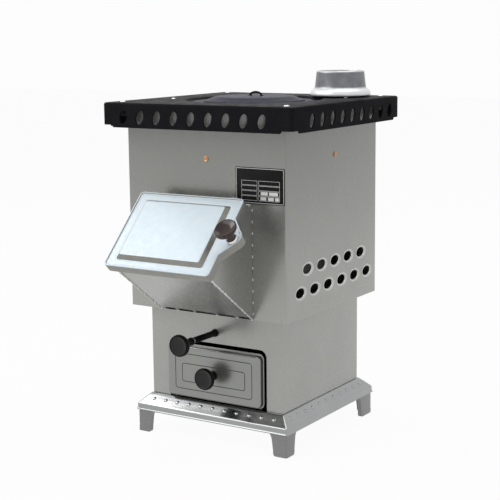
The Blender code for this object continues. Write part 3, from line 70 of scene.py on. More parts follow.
@dataclass(frozen=True)
class Outline:
    """A rounded rectangle lying level at a height, in millimetres."""

    width: float
    depth: float
    radius: float
    height: float
    middle: Pair = (0.0, 0.0)

    def corners(self, steps: int) -> list[Vector]:
        """Points round it, anticlockwise from its right side, in metres, with steps to a corner."""
        across, along = self.width / 2 - self.radius, self.depth / 2 - self.radius
        signs = ((1, 1), (-1, 1), (-1, -1), (1, -1))
        flat = [point for (x, y), start in zip(signs, QUARTERS)
                for point in arc((x * across, y * along), self.radius, start, start + 90, steps)]
        return [Vector((x + self.middle[0], y + self.middle[1], self.height)) * MM for x, y in flat]


@dataclass(frozen=True)
class Oval:
    """An ellipse lying level at a height, in millimetres."""

    width: float
    depth: float
    height: float

    def corners(self, steps: int) -> list[Vector]:
        """Points round it, anticlockwise from its right side, in metres, with steps to a quarter."""
        turns = [math.pi / 2 * step / steps for step in range(4 * steps)]
        return [Vector((self.width / 2 * math.cos(turn), self.depth / 2 * math.sin(turn), self.height)) * MM
                for turn in turns]


def stacked(outlines: Sequence[Outline | Oval], closed: bool = False, steps: int = 6) -> BMesh:
    """Extrude one outline onto the next, over and over, into a solid.

    Args:
        outlines: the outlines in order.
        closed: whether the last one joins the first, instead of both being capped.
        steps: facets of each rounded corner.

    Returns:
        The solid.
    """
    mesh = bmesh.new()
    loop = [mesh.verts.new(point) for point in outlines[0].corners(steps)]
    edges = [mesh.edges.new(pair) for pair in zip(loop, loop[1:] + loop[:1])]
    ends = [loop]
    for outline in list(outlines[1:]) + list(outlines[:1] if closed else []):
        grown = bmesh.ops.extrude_edge_only(mesh, edges=edges)["geom"]
        edges = [item for item in grown if isinstance(item, BMEdge)]
        order = {vert: index for index, vert in enumerate(loop)}
        places = outline.corners(steps)
        fresh = [item for item in grown if isinstance(item, BMVert)]
        loop = sorted(fresh, key=lambda vert: next(order[edge.other_vert(vert)] for edge in vert.link_edges
                                                   if edge.other_vert(vert) in order))
        for vert, place in zip(loop, places):
            vert.co = place
    if closed:
        bmesh.ops.remove_doubles(mesh, verts=loop + ends[0], dist=1e-7)
    else:
        mesh.faces.new(ends[0])
        mesh.faces.new(loop)
    return mesh


def lathed(profile: Sequence[Pair], steps: int = 48, closed: bool = False) -> BMesh:
    """Spin a profile of (radius, height) in millimetres about Z.

    Args:
        profile: the points, from axis to axis, or round a ring's section.
        steps: facets round the piece.
        closed: whether the section closes on itself.

    Returns:
        The turned solid.
    """
    mesh = bmesh.new()
    corners = [mesh.verts.new((radius * MM, 0, height * MM)) for radius, height in profile]
    edges = [mesh.edges.new(pair) for pair in zip(corners, corners[1:])]
    if closed:
        edges.append(mesh.edges.new((corners[-1], corners[0])))
    bmesh.ops.spin(mesh, geom=corners + edges, axis=(0, 0, 1), cent=(0, 0, 0), steps=steps,
                   angle=2 * math.pi, use_merge=True)
    bmesh.ops.remove_doubles(mesh, verts=mesh.verts, dist=1e-6)
    return mesh


def pushed(points: Sequence[Sequence[float]], step: Sequence[float]) -> BMesh:
    """Extrude a flat outline by a step, both in millimetres, into a solid."""
    mesh = bmesh.new()
    face = mesh.faces.new([mesh.verts.new(Vector(point) * MM) for point in points])
    grown = bmesh.ops.extrude_face_region(mesh, geom=[face])
    moved = [item for item in grown["geom"] if isinstance(item, BMVert)]
    bmesh.ops.translate(mesh, verts=moved, vec=Vector(step) * MM)
    return mesh


def brick(low: Sequence[float], high: Sequence[float]) -> BMesh:
    """A box between two corners, in millimetres."""
    mesh = bmesh.new()
    bmesh.ops.create_cube(mesh, size=MM)
    bmesh.ops.scale(mesh, vec=[abs(b - a) for a, b in zip(low, high)], verts=mesh.verts)
    bmesh.ops.translate(mesh, vec=[(a + b) / 2 * MM for a, b in zip(low, high)], verts=mesh.verts)
    return mesh


def bar(start: Sequence[float], end: Sequence[float], radius: float, steps: int = 24) -> BMesh:
    """A round bar between two points, in millimetres."""
    line = Vector(end) - Vector(start)
    mesh = lathed([(0, 0), (radius, 0), (radius, line.length), (0, line.length)], steps)
    return aimed(mesh, start, line)


def aimed(mesh: BMesh, place: Sequence[float], direction: Sequence[float]) -> BMesh:
    """Turn a mesh's Z towards a direction and move it to a place in millimetres."""
    turn = Vector((0, 0, 1)).rotation_difference(Vector(direction)).to_matrix().to_4x4()
    mesh.transform(Matrix.Translation(Vector(place) * MM) @ turn)
    return mesh


def shifted(mesh: BMesh, place: Sequence[float]) -> BMesh:
    """Move a mesh by a step in millimetres."""
    mesh.transform(Matrix.Translation(Vector(place) * MM))
    return mesh


def turned(mesh: BMesh, degrees: float) -> BMesh:
    """Turn a mesh about Z, anticlockwise."""
    mesh.transform(Matrix.Rotation(math.radians(degrees), 4, "Z"))
    return mesh


def upright(place: Sequence[float]) -> Matrix:
    """What stands a level shape up to face the front, at a place in millimetres."""
    return Matrix.Translation(Vector(place) * MM) @ Matrix.Rotation(math.pi / 2, 4, "X")


def rolled(base: Outline, edge: float, share: float) -> list[Outline]:
    """Outlines that roll a rounded rectangle's edge over to its top.

    Args:
        base: the rectangle at the height of its top, before the edge is rounded.
        edge: the rounding's radius in millimetres.
        share: how fast its corners tighten as it is drawn in.

    Returns:
        The outlines, from the bottom of the rounding up.
    """
    made = []
    for sine, cosine in ((math.sin(turn), math.cos(turn)) for turn in map(math.radians, range(0, 91, 15))):
        inset = edge * (1 - cosine)
        made.append(Outline(base.width - 2 * inset, base.depth - 2 * inset, base.radius - inset * share,
                            base.height - edge * (1 - sine)))
    return made


def linked(name: str, data: ID) -> Object:
    """A new object with its data, in the scene."""
    made = bpy.data.objects.new(name, data)
    bpy.context.scene.collection.objects.link(made)
    return made


def turned_out(mesh: BMesh) -> BMesh:
    """Face a closed mesh's sides outwards."""
    bmesh.ops.recalc_face_normals(mesh, faces=mesh.faces)
    if mesh.calc_volume(signed=True) < 0:
        bmesh.ops.reverse_faces(mesh, faces=mesh.faces)
    return mesh


def merged(meshes: Sequence[BMesh]) -> BMesh:
    """Lay several closed meshes in one, each facing outwards."""
    whole = bmesh.new()
    for mesh in meshes:
        data = bpy.data.meshes.new("loose")
        turned_out(mesh).to_mesh(data)
        mesh.free()
        whole.from_mesh(data)
        bpy.data.meshes.remove(data)
    return whole


class Join(Enum):
    """How a boolean joins two solids."""

    CUT = "DIFFERENCE"
    WELD = "UNION"


def carved(base: BMesh, tools: Sequence[BMesh], how: Join) -> BMesh:
    """Cut tools out of a solid, or weld them to it.

    Args:
        base: the solid that is worked on.
        tools: the solids that cut it or are welded to it.
        how: cut or weld.

    Returns:
        The worked solid.
    """
    made = []
    for mesh in (turned_out(base), merged(tools)):
        data = bpy.data.meshes.new("work")
        mesh.to_mesh(data)
        mesh.free()
        made.append(linked("work", data))
    change = made[0].modifiers.new("work", "BOOLEAN")
    change.operation, change.solver, change.object = how.value, "EXACT", made[1]
    worked = bpy.data.meshes.new_from_object(made[0].evaluated_get(bpy.context.evaluated_depsgraph_get()))
    result = bmesh.new()
    result.from_mesh(worked)
    for thing in made:
        data = thing.data
        bpy.data.objects.remove(thing)
        bpy.data.meshes.remove(data)
    bpy.data.meshes.remove(worked)
    bmesh.ops.remove_doubles(result, verts=result.verts, dist=1e-6)
    return result


def arc(centre: Pair, radius: float, start: float, end: float, steps: int) -> list[Pair]:
    """Points on a circle's arc, with its angles in degrees."""
    turns = [math.radians(start + (end - start) * step / steps) for step in range(steps + 1)]
    return [(centre[0] + radius * math.cos(turn), centre[1] + radius * math.sin(turn)) for turn in turns]


def dished(knob: BMesh, radius: float, height: float) -> BMesh:
    """Mark a knob's dish, inside a radius and above a height in millimetres, for its second finish."""
    for face in knob.faces:
        spot = face.calc_center_median() / MM
        face.material_index = int(spot.xy.length < radius and spot.z > height)
    return knob


def swept(points: Sequence[Sequence[float]], radii: Sequence[float], steps: int = 10) -> BMesh:
    """A round bead along points, with its own radius at each, in millimetres, and both its ends filled."""
    mesh = bmesh.new()
    places = [Vector(point) for point in points]
    loops = []
    for index, (place, radius) in enumerate(zip(places, radii)):
        ahead = places[min(index + 1, len(places) - 1)] - places[max(index - 1, 0)]
        made = bmesh.ops.create_circle(mesh, cap_ends=False, radius=radius * MM, segments=steps)
        turn = ahead.to_track_quat("Z", "Y").to_matrix().to_4x4()
        bmesh.ops.transform(mesh, matrix=Matrix.Translation(place * MM) @ turn, verts=made["verts"])
        loops.append(list(dict.fromkeys(edge for vert in made["verts"] for edge in vert.link_edges)))
    for first, second in zip(loops, loops[1:]):
        bmesh.ops.bridge_loops(mesh, edges=first + second)
    for loop in (loops[0], loops[-1]):
        bmesh.ops.edgeloop_fill(mesh, edges=loop)
    return mesh


# Finishes

def fed(node: Node, **values: object) -> Node:
    """Join a node's inputs to sockets or set them to values, with underscores for the spaces in names."""
    for name, value in values.items():
        socket = node.inputs[name.replace("_", " ")]
        if isinstance(value, NodeSocket):
            node.id_data.links.new(value, socket)
        else:
            socket.default_value = value
    return node


class Wiring:
    """Lays the nodes of one finish's material."""

    def __init__(self, name: str) -> None:
        """Start a material of that name with an empty Principled shader."""
        self.material = bpy.data.materials.new(PREFIX + name)
        self.material.use_nodes = True
        self.shader = self.material.node_tree.nodes["Principled BSDF"]
        self.place = self.node("TexCoord").outputs["Object"]

    def node(self, kind: str, **values: object) -> Node:
        """A new shader node of a kind, with its inputs fed."""
        return fed(self.material.node_tree.nodes.new("ShaderNode" + kind), **values)

    def noise(self, size: float, detail: float = 3.0, rough: float = 0.5,
              stretch: Sequence[float] = (1, 1, 1)) -> NodeSocket:
        """Noise with features of a size in millimetres.

        Args:
            size: the features' size.
            detail: how many finer layers it has.
            rough: how strong the finer layers are.
            stretch: how many times the size grows along each axis.

        Returns:
            The socket with the noise's value.
        """
        mapping = self.node("Mapping", Scale=[1 / along for along in stretch], Vector=self.place)
        made = self.node("TexNoise", Scale=1 / (size * MM), Detail=detail, Roughness=rough,
                         Vector=mapping.outputs["Vector"])
        return made.outputs["Fac"]

    def spots(self, size: float, cut: float) -> NodeSocket:
        """Scattered spots, 1 inside and 0 outside: how far apart in millimetres, and their share of it."""
        cells = self.node("TexVoronoi", Scale=1 / (size * MM), Vector=self.place)
        return self.span(cells.outputs["Distance"], 1.0, 0.0, cut * 0.6, cut)

    def climb(self, start: float, end: float) -> NodeSocket:
        """How far a point is between two heights in millimetres: 0 below the first, 1 above the second."""
        split = self.node("SeparateXYZ", Vector=self.place)
        return self.span(split.outputs["Z"], 0, 1, start * MM, end * MM)

    def span(self, value: NodeSocket, low: float, high: float, start: float = 0.3,
             end: float = 0.7) -> NodeSocket:
        """Stretch a value's range onto another.

        Args:
            value: the socket with the value.
            low: what it gives at start.
            high: what it gives at end.
            start: the lower end of the value's range.
            end: the upper end of the value's range.

        Returns:
            The socket with the stretched value.
        """
        made = self.node("MapRange", Value=value, From_Min=start, From_Max=end, To_Min=low, To_Max=high)
        return made.outputs["Result"]

    def mix(self, share: NodeSocket, first: object, second: object) -> NodeSocket:
        """Mix two colours, each a socket or a triple, by the second one's share."""
        made = self.node("Mix")
        made.data_type = "RGBA"
        fed(made, Factor=share)
        for name, colour in (("A", first), ("B", second)):
            socket = next(item for item in made.inputs if item.name == name and item.type == "RGBA")
            if isinstance(colour, NodeSocket):
                made.id_data.links.new(colour, socket)
            else:
                socket.default_value = (*colour, 1)
        return next(item for item in made.outputs if item.type == "RGBA")

    def bump(self, height: NodeSocket, depth: float, strength: float = 1.0) -> None:
        """Add relief of a depth in millimetres to the relief so far, from a height of 0 to 1."""
        made = self.node("Bump", Distance=depth * MM, Strength=strength, Height=height)
        socket = self.shader.inputs["Normal"]
        if socket.is_linked:
            fed(made, Normal=socket.links[0].from_socket)
        fed(self.shader, Normal=made.outputs["Normal"])

    def surface(self, tone: NodeSocket, grain: NodeSocket, low: float, high: float) -> None:
        """Join the colour, and a roughness that wanders with a grain between two levels."""
        fed(self.shader, Base_Color=tone, Roughness=self.span(grain, low, high))


@dataclass(frozen=True)
class SheetMetal:
    """Rolled sheet with soft clouding and fine rolling streaks, and, where asked, painted shade darkening it
    towards its top.
    """

    name: str
    colour: Triple
    roughness: float = 0.30
    metallic: float = 1.0
    clouding: float = 0.03
    waves: float = 0.12
    painted_top_shade: float = 0.0

    def make(self) -> Material:
        """Lay out the material."""
        wiring = Wiring(self.name)
        fed(wiring.shader, Metallic=self.metallic)
        cloud = wiring.noise(90, 4, 0.55)
        dull = tuple(channel * (1 - self.clouding) for channel in self.colour)
        bright = tuple(min(1.0, channel * (1 + self.clouding)) for channel in self.colour)
        tone = wiring.mix(wiring.span(cloud, 0, 1), dull, bright)
        # Painted shade: where asked, the sheet darkens towards its top, standing in for the shade under the
        # plate's overhang.
        if self.painted_top_shade:
            top_shaded = tuple(channel * (1 - self.painted_top_shade) for channel in self.colour)
            tone = wiring.mix(wiring.climb(330, 640), tone, top_shaded)
        grain = wiring.span(wiring.noise(0.7, 2, 0.6, (1, 1, 14)), 0, 1, 0.35, 0.65)
        wiring.surface(tone, wiring.noise(35, 4, 0.5), self.roughness * 0.92, self.roughness * 1.1)
        wiring.bump(grain, 0.004)
        wiring.bump(wiring.noise(60, 2, 0.4), self.waves, 0.35)
        return wiring.material


@dataclass(frozen=True)
class Enamel:
    """Black stove enamel with a slight orange peel and a little dust."""

    name: str
    colour: Triple
    dust: Triple
    roughness: float = 0.3
    shine: float = 0.12

    def make(self) -> Material:
        """Lay out the material."""
        wiring = Wiring(self.name)
        fed(wiring.shader, Specular_IOR_Level=self.shine)
        dusty = wiring.span(wiring.noise(30, 6, 0.65), 0, 0.5, 0.45, 0.75)
        wiring.surface(wiring.mix(dusty, self.colour, self.dust), wiring.noise(22, 5, 0.6),
                       self.roughness * 0.8, self.roughness * 1.3)
        wiring.bump(wiring.noise(2.2, 2, 0.5), 0.02, 0.5)
        return wiring.material


@dataclass(frozen=True)
class Casting:
    """A sand casting: grain, broad tone and, where it has them, dark pits and a painted highlight on its foot
    and rim.

    The values in bright are the heights in millimetres between which the foot's painted highlight ends, the
    height where the rim's painted highlight starts, and how bright both are.
    """

    name: str
    colour: Triple
    shade: Triple
    roughness: float
    metallic: float
    grain: float = 1.2
    relief: float = 0.06
    pits: float = 0.0
    shine: float = 0.5
    bright: tuple[float, float, float, float] | None = None

    def make(self) -> Material:
        """Lay out the material."""
        wiring = Wiring(self.name)
        fed(wiring.shader, Metallic=self.metallic, Specular_IOR_Level=self.shine)
        tone = wiring.mix(wiring.span(wiring.noise(16, 5, 0.6), 0, 1), self.colour, self.shade)
        if self.pits:
            pit = wiring.spots(17, self.pits)
            tone = wiring.mix(pit, tone, tuple(channel * 0.12 for channel in self.colour))
        # Painted highlight: the flared foot and the top rim are painted pale, standing in for the light that
        # they catch.
        if self.bright:
            foot_low, foot_high, rim, level = self.bright
            highlight_tone = (level, level * 1.01, level * 1.03)
            tone = wiring.mix(wiring.climb(foot_low, foot_high), highlight_tone, tone)
            tone = wiring.mix(wiring.climb(rim, rim + 1.5), tone, tuple(channel * 0.75 for channel in highlight_tone))
        wiring.surface(tone, wiring.noise(7, 4, 0.6), self.roughness * 0.85, self.roughness * 1.25)
        wiring.bump(wiring.noise(self.grain, 4, 0.65), self.relief, 0.6)
        return wiring.material


@dataclass(frozen=True)
class Moulding:
    """Polished bakelite with a faint swirl."""

    name: str
    colour: Triple
    swirl: Triple
    roughness: float = 0.18
    shine: float = 0.5

    def make(self) -> Material:
        """Lay out the material."""
        wiring = Wiring(self.name)
        fed(wiring.shader, Specular_IOR_Level=self.shine)
        share = wiring.span(wiring.noise(6, 5, 0.7, (1, 1, 3)), 0, 1, 0.4, 0.7)
        wiring.surface(wiring.mix(share, self.colour, self.swirl), wiring.noise(4, 4, 0.6),
                       self.roughness * 0.8, self.roughness * 1.5)
        wiring.bump(wiring.noise(0.8, 2, 0.5), 0.004, 0.4)
        return wiring.material


@dataclass(frozen=True)
class Mineral:
    """Matt fired clay or woven fibre."""

    name: str
    colour: Triple
    shade: Triple
    grain: float

    def make(self) -> Material:
        """Lay out the material."""
        wiring = Wiring(self.name)
        tone = wiring.mix(wiring.span(wiring.noise(self.grain * 6, 6, 0.7), 0, 1), self.colour, self.shade)
        wiring.surface(tone, wiring.noise(self.grain * 2), 0.85, 1.0)
        wiring.bump(wiring.noise(self.grain, 5, 0.7), 0.25, 0.8)
        return wiring.material


class Finish(Enum):
    """The stove's finishes."""

    # The casing's sheet carries painted shade that darkens its top.
    CASING = SheetMetal("casing_sheet", (0.385, 0.390, 0.368), 0.27, 0.6, painted_top_shade=0.36)
    EYELET = SheetMetal("pressed_eyelet", (0.52, 0.525, 0.50), 0.24, 0.8)
    TRAY = SheetMetal("tray_sheet", (0.335, 0.34, 0.342), 0.16, 1.0, 0.04, 0.14)
    LEG = SheetMetal("leg_sheet", (0.24, 0.245, 0.24), 0.28, 0.6)
    DRAWER = SheetMetal("drawer_sheet", (0.29, 0.295, 0.28), 0.30, 0.75)
    WELD = Casting("weld_bead", (0.82, 0.83, 0.80), (0.62, 0.63, 0.60), 0.35, 0.5, 0.8, 0.1)
    ENAMEL = Enamel("black_enamel", (0.014, 0.014, 0.016), (0.022, 0.022, 0.024), 0.42, 0.01)
    PLATE_SHEET = Enamel("plate_sheet", (0.010, 0.010, 0.011), (0.018, 0.018, 0.019), 0.3, 0.1)
    HOB = Casting("hob_iron", (0.045, 0.045, 0.066), (0.032, 0.032, 0.048), 0.42, 0.2, 1.4, 0.05, 0.0, 0.05)
    LID = Casting("lid_casting", (0.70, 0.785, 0.84), (0.66, 0.75, 0.81), 0.45, 0.25, 1.6, 0.02)
    # Bare metal on the lid's skirt. On the panel's bevel and the bead's groove it is painted shade.
    LID_EDGE = Casting("lid_edge", (0.30, 0.295, 0.27), (0.25, 0.245, 0.225), 0.34, 0.6, 1.6, 0.04)
    # The flue's pale foot and rim are a painted highlight.
    FLUE = Casting("flue_casting", (0.23, 0.235, 0.25), (0.16, 0.165, 0.18), 0.36, 0.75, 1.1, 0.08, 0.1,
                   bright=(716, 721, 751, 0.78))
    BLACK = Moulding("black_bakelite", (0.003, 0.003, 0.004), (0.006, 0.006, 0.007), 0.16, 0.1)
    # Painted shade: a dark line finish that stands in for the shade in the drawer's grooves.
    GRIME = Moulding("painted_groove_shade", (0.085, 0.085, 0.08), (0.14, 0.14, 0.132), 0.5, 0.1)
    WORN = Moulding("worn_bakelite", (0.006, 0.006, 0.007), (0.012, 0.012, 0.013), 0.22, 0.3)
    BROWN = Moulding("brown_bakelite", (0.020, 0.008, 0.006), (0.040, 0.018, 0.014), 0.12, 0.4)
    PLATED = SheetMetal("plated_steel", (0.72, 0.72, 0.71), 0.16, 1.0, 0.03)
    COPPER = SheetMetal("copper_screw", (0.55, 0.30, 0.16), 0.28, 0.9, 0.15)
    PLAIN = SheetMetal("plain_steel", (0.22, 0.22, 0.21), 0.42, 0.9, 0.12)
    GRATE = Casting("grate_iron", (0.060, 0.058, 0.056), (0.035, 0.034, 0.034), 0.6, 0.3, 1.5, 0.15)
    BRICK = Mineral("fire_brick", (0.52, 0.38, 0.26), (0.40, 0.28, 0.19), 1.2)
    FIBRE = Mineral("fibre_seal", (0.50, 0.48, 0.43), (0.38, 0.36, 0.32), 0.8)
    PRINT = SheetMetal("printed_line", (0.80, 0.81, 0.79), 0.4, 0.3, 0.03)

    def material(self) -> Material:
        """The finish's material, made the first time that it is asked for."""
        return bpy.data.materials.get(PREFIX + self.value.name) or self.value.make()


# The bench: what turns meshes into pieces

@dataclass
class Bench:
    """Turns meshes in the stove's own frame into pieces that ride on its bodies."""

    shift: Vector

    def piece(self, name: str, mesh: BMesh, finish: Finish, body: str, slot: str,
              nodes: Sequence[str] = (), edge: float = 0.0, sharp: float = 40.0,
              trim: Finish | None = None) -> Object:
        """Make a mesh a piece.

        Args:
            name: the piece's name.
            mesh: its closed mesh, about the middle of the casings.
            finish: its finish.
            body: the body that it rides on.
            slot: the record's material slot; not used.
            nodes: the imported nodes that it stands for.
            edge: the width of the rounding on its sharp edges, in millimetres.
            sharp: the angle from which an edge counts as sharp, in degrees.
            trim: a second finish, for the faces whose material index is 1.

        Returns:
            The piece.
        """
        turned_out(mesh)
        mesh.transform(Matrix.Translation(self.shift))
        data = bpy.data.meshes.new(name)
        mesh.to_mesh(data)
        mesh.free()
        for look in filter(None, (finish, trim)):
            data.materials.append(look.material())
        data.shade_smooth()
        data.set_sharp_from_angle(angle=math.radians(sharp))
        made = linked(name, data)
        if edge:
            rounding = made.modifiers.new("rounding", "BEVEL")
            rounding.width = edge * MM
            rounding.segments = 2
            rounding.limit_method = "ANGLE"
            rounding.angle_limit = math.radians(sharp)
            rounding.harden_normals = True
        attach(made, body)
        if nodes:
            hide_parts(*nodes)
        LOG.info("%s: %d faces on %s", name, len(data.polygons), body)
        return made

    def dress(self, finish: Finish, *nodes: str) -> None:
        """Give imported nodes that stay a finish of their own.

        Args:
            finish: the finish.
            nodes: the nodes' names.
        """
        for name in nodes:
            node = bpy.data.objects[name]
            node.data.materials.clear()
            node.data.materials.append(finish.material())
            LOG.info("%s: kept, in %s", name, finish.value.name)


# Sub-assemblies, with sizes in millimetres about the middle of the casings

@dataclass
class Plinth:
    """The pressed tray and its four legs."""

    TRAY_INSIDE = ((161.0, 33.2), (166.8, 29.6), (180.8, 15.4), (183.6, 13.0), (184.0, 4.0), (185.2, 0.6))
    TRAY_OUTSIDE = ((186.2, 0.0), (186.9, 0.7), (187.1, 1.6), (186.8, 2.5), (186.0, 3.3), (185.6, 4.4),
                    (185.5, 8.5), (185.4, 12.0), (184.9, 13.8), (183.9, 15.2), (182.4, 16.6), (178.0, 21.0),
                    (173.4, 25.6), (168.8, 30.0), (165.4, 33.2), (163.8, 34.5), (162.2, 35.0))
    DIMPLE = ((0, -1.0), (4.6, -1.0), (4.5, 0.05), (4.0, 0.75), (3.1, 1.35), (1.7, 1.75), (0, 1.9))
    LEG_EDGE = ((26.2, 0.0), (28.4, 0.5), (30.0, 1.9), (30.9, 4.0), (31.2, 7.0), (31.7, 13.0), (32.5, 18.6),
                (33.4, 27.0), (34.5, 34.9), (35.8, 39.6), (37.5, 42.8), (39.0, 45.0))
    bench: Bench
    leg_height: float = 46.5
    leg_outer: float = 183.7
    leg_sheet: float = 2.0
    leg_top: float = 58.5
    leg_fold: float = 9.0
    leg_width: float = 40.0
    leg_bend: float = 4.0
    back_extra: float = 15.0
    band: Triple = (0.3, 9.8, 0.5)
    inside_corner: float = 2.4
    outside_corner: float = 4.0
    dimples: int = 11
    pitch: float = 29.7
    dimple_line: float = 173.4
    dimple_height: float = 25.6

    def build(self) -> None:
        """Make the tray and the legs."""
        self.tray()
        for side_x, side_y, name in CORNERS:
            self.leg(side_x, side_y, name)

    def tray(self) -> None:
        """The tray: a skirt with a rolled hem, a rounded shoulder and a dimpled slope."""
        mesh = stacked([Outline(2 * half, 2 * half, corner, self.leg_height + height)
                        for path, corner in ((self.TRAY_INSIDE, self.inside_corner),
                                             (self.TRAY_OUTSIDE, self.outside_corner))
                        for half, height in path])
        domes = []
        for quarter in QUARTERS:
            for number in range(self.dimples):
                place = ((number - (self.dimples - 1) / 2) * self.pitch, -self.dimple_line,
                         self.leg_height + self.dimple_height)
                domes.append(turned(aimed(lathed(self.DIMPLE, 20), place, (0, -1, 1)), quarter))
        self.bench.piece("pressed_tray", carved(mesh, domes, Join.WELD), Finish.TRAY, STOVE, "tray_sheet",
                         ["base_tray"], sharp=32)

    def leg(self, side_x: int, side_y: int, name: str) -> None:
        """One bent leg, with its curved inner edges and the band at its foot.

        Args:
            side_x: -1 on the left, 1 on the right.
            side_y: -1 at the front, 1 at the back.
            name: the corner's name.
        """
        outer, inner = self.leg_outer, self.leg_outer - self.leg_sheet
        extras = (0.0, self.back_extra if side_y > 0 else 0.0)
        reach, bend = outer - self.leg_width, self.leg_bend

        def corner(face: float, top: float, wall: float) -> BMesh:
            """An L section pushed up from the floor."""
            plan = [(face, reach - extras[1]), *arc((face - bend, face - bend), bend, 0, 90, 5),
                    (reach - extras[0], face), (reach - extras[0], wall),
                    (wall, wall), (wall, reach - extras[1])]
            return pushed([(side_x * x, side_y * y, 0) for x, y in plan], (0, 0, top))

        def through(points: Sequence[Pair], along: int, near: float, far: float) -> BMesh:
            """A shape of width from the corner and height, pushed through the sheet facing Y (0) or X (1)."""
            flat = [(side_x * near, side_y * (outer - width), height) if along else
                    (side_x * (outer - width), side_y * near, height) for width, height in points]
            return pushed(flat, (side_x * (far - near), 0, 0) if along else (0, side_y * (far - near), 0))

        proud, band_top, gain = self.band
        mesh = carved(corner(outer, self.leg_top, inner), [corner(outer + proud, band_top, inner + gain)],
                      Join.WELD)
        for along, extra in enumerate(extras):
            curve = [(width + extra, height)
                     for width, height in (*self.LEG_EDGE, (self.leg_width, self.leg_height))]
            away = curve + [(80.0, self.leg_height + 0.2), (80.0, -1.0), (curve[0][0], -1.0)]
            fold = curve + [(width - self.leg_sheet, height) for width, height in curve[::-1]]
            mesh = carved(mesh, [through(away, along, outer + 6, inner - 4)], Join.CUT)
            mesh = carved(mesh, [through(fold, along, outer - 0.4, outer - self.leg_fold)], Join.WELD)
        self.bench.piece("bent_leg_" + name, mesh, Finish.LEG, STOVE, "tray_sheet", ["leg_" + name],
                         edge=0.35)


@dataclass
class AshCasing:
    """The lower casing, with the drawer's opening and the shaker's hole."""

    bench: Bench
    width: float = 323.0
    depth: float = 317.0
    low: float = 81.8
    high: float = 274.8
    sheet: float = 1.5
    opening: Triple = (-116.0, 123.0, 207.0)
    opening_corner: float = 15.5
    flange: Triple = (0.8, 9.0, 1.4)
    hole: Triple = (0.0, 230.0, 7.0)

    def build(self) -> None:
        """Make the casing."""
        inner_width, inner_depth = self.width - 2 * self.sheet, self.depth - 2 * self.sheet
        mesh = stacked([Outline(self.width, self.depth, 2.6, self.low),
                        Outline(self.width, self.depth, 2.6, self.high),
                        Outline(inner_width, inner_depth, 1.1, self.high),
                        Outline(inner_width, inner_depth, 1.1, self.low)], closed=True)
        front = -self.depth / 2
        near, far, thick = self.flange
        mesh = carved(mesh, [self.doorway(front + near, front + far, thick, self.low)], Join.WELD)
        mesh = carved(mesh, [self.doorway(front - 5, front + far + 5, 0, self.low - 8)], Join.CUT)
        x, z, radius = self.hole
        mesh = carved(mesh, [bar((x, front - 5, z), (x, front + 5, z), radius)], Join.CUT)
        self.bench.piece("ash_casing", mesh, Finish.CASING, STOVE, "galvanised", ["lower_casing"], edge=0.35)

    def doorway(self, near: float, far: float, grow: float, low: float) -> BMesh:
        """The drawer's opening as a solid.

        Args:
            near: where it starts along Y.
            far: where it ends along Y.
            grow: how far it is larger than the opening.
            low: its bottom.

        Returns:
            The solid.
        """
        left, right, top = self.opening
        bend = self.opening_corner + grow
        left, right, top = left - grow, right + grow, top + grow
        points = [(left, low), (right, low), *arc((right - bend, top - bend), bend, 0, 90, 8),
                  *arc((left + bend, top - bend), bend, 90, 180, 8)]
        return pushed([(x, near, z) for x, z in points], (0, far - near, 0))


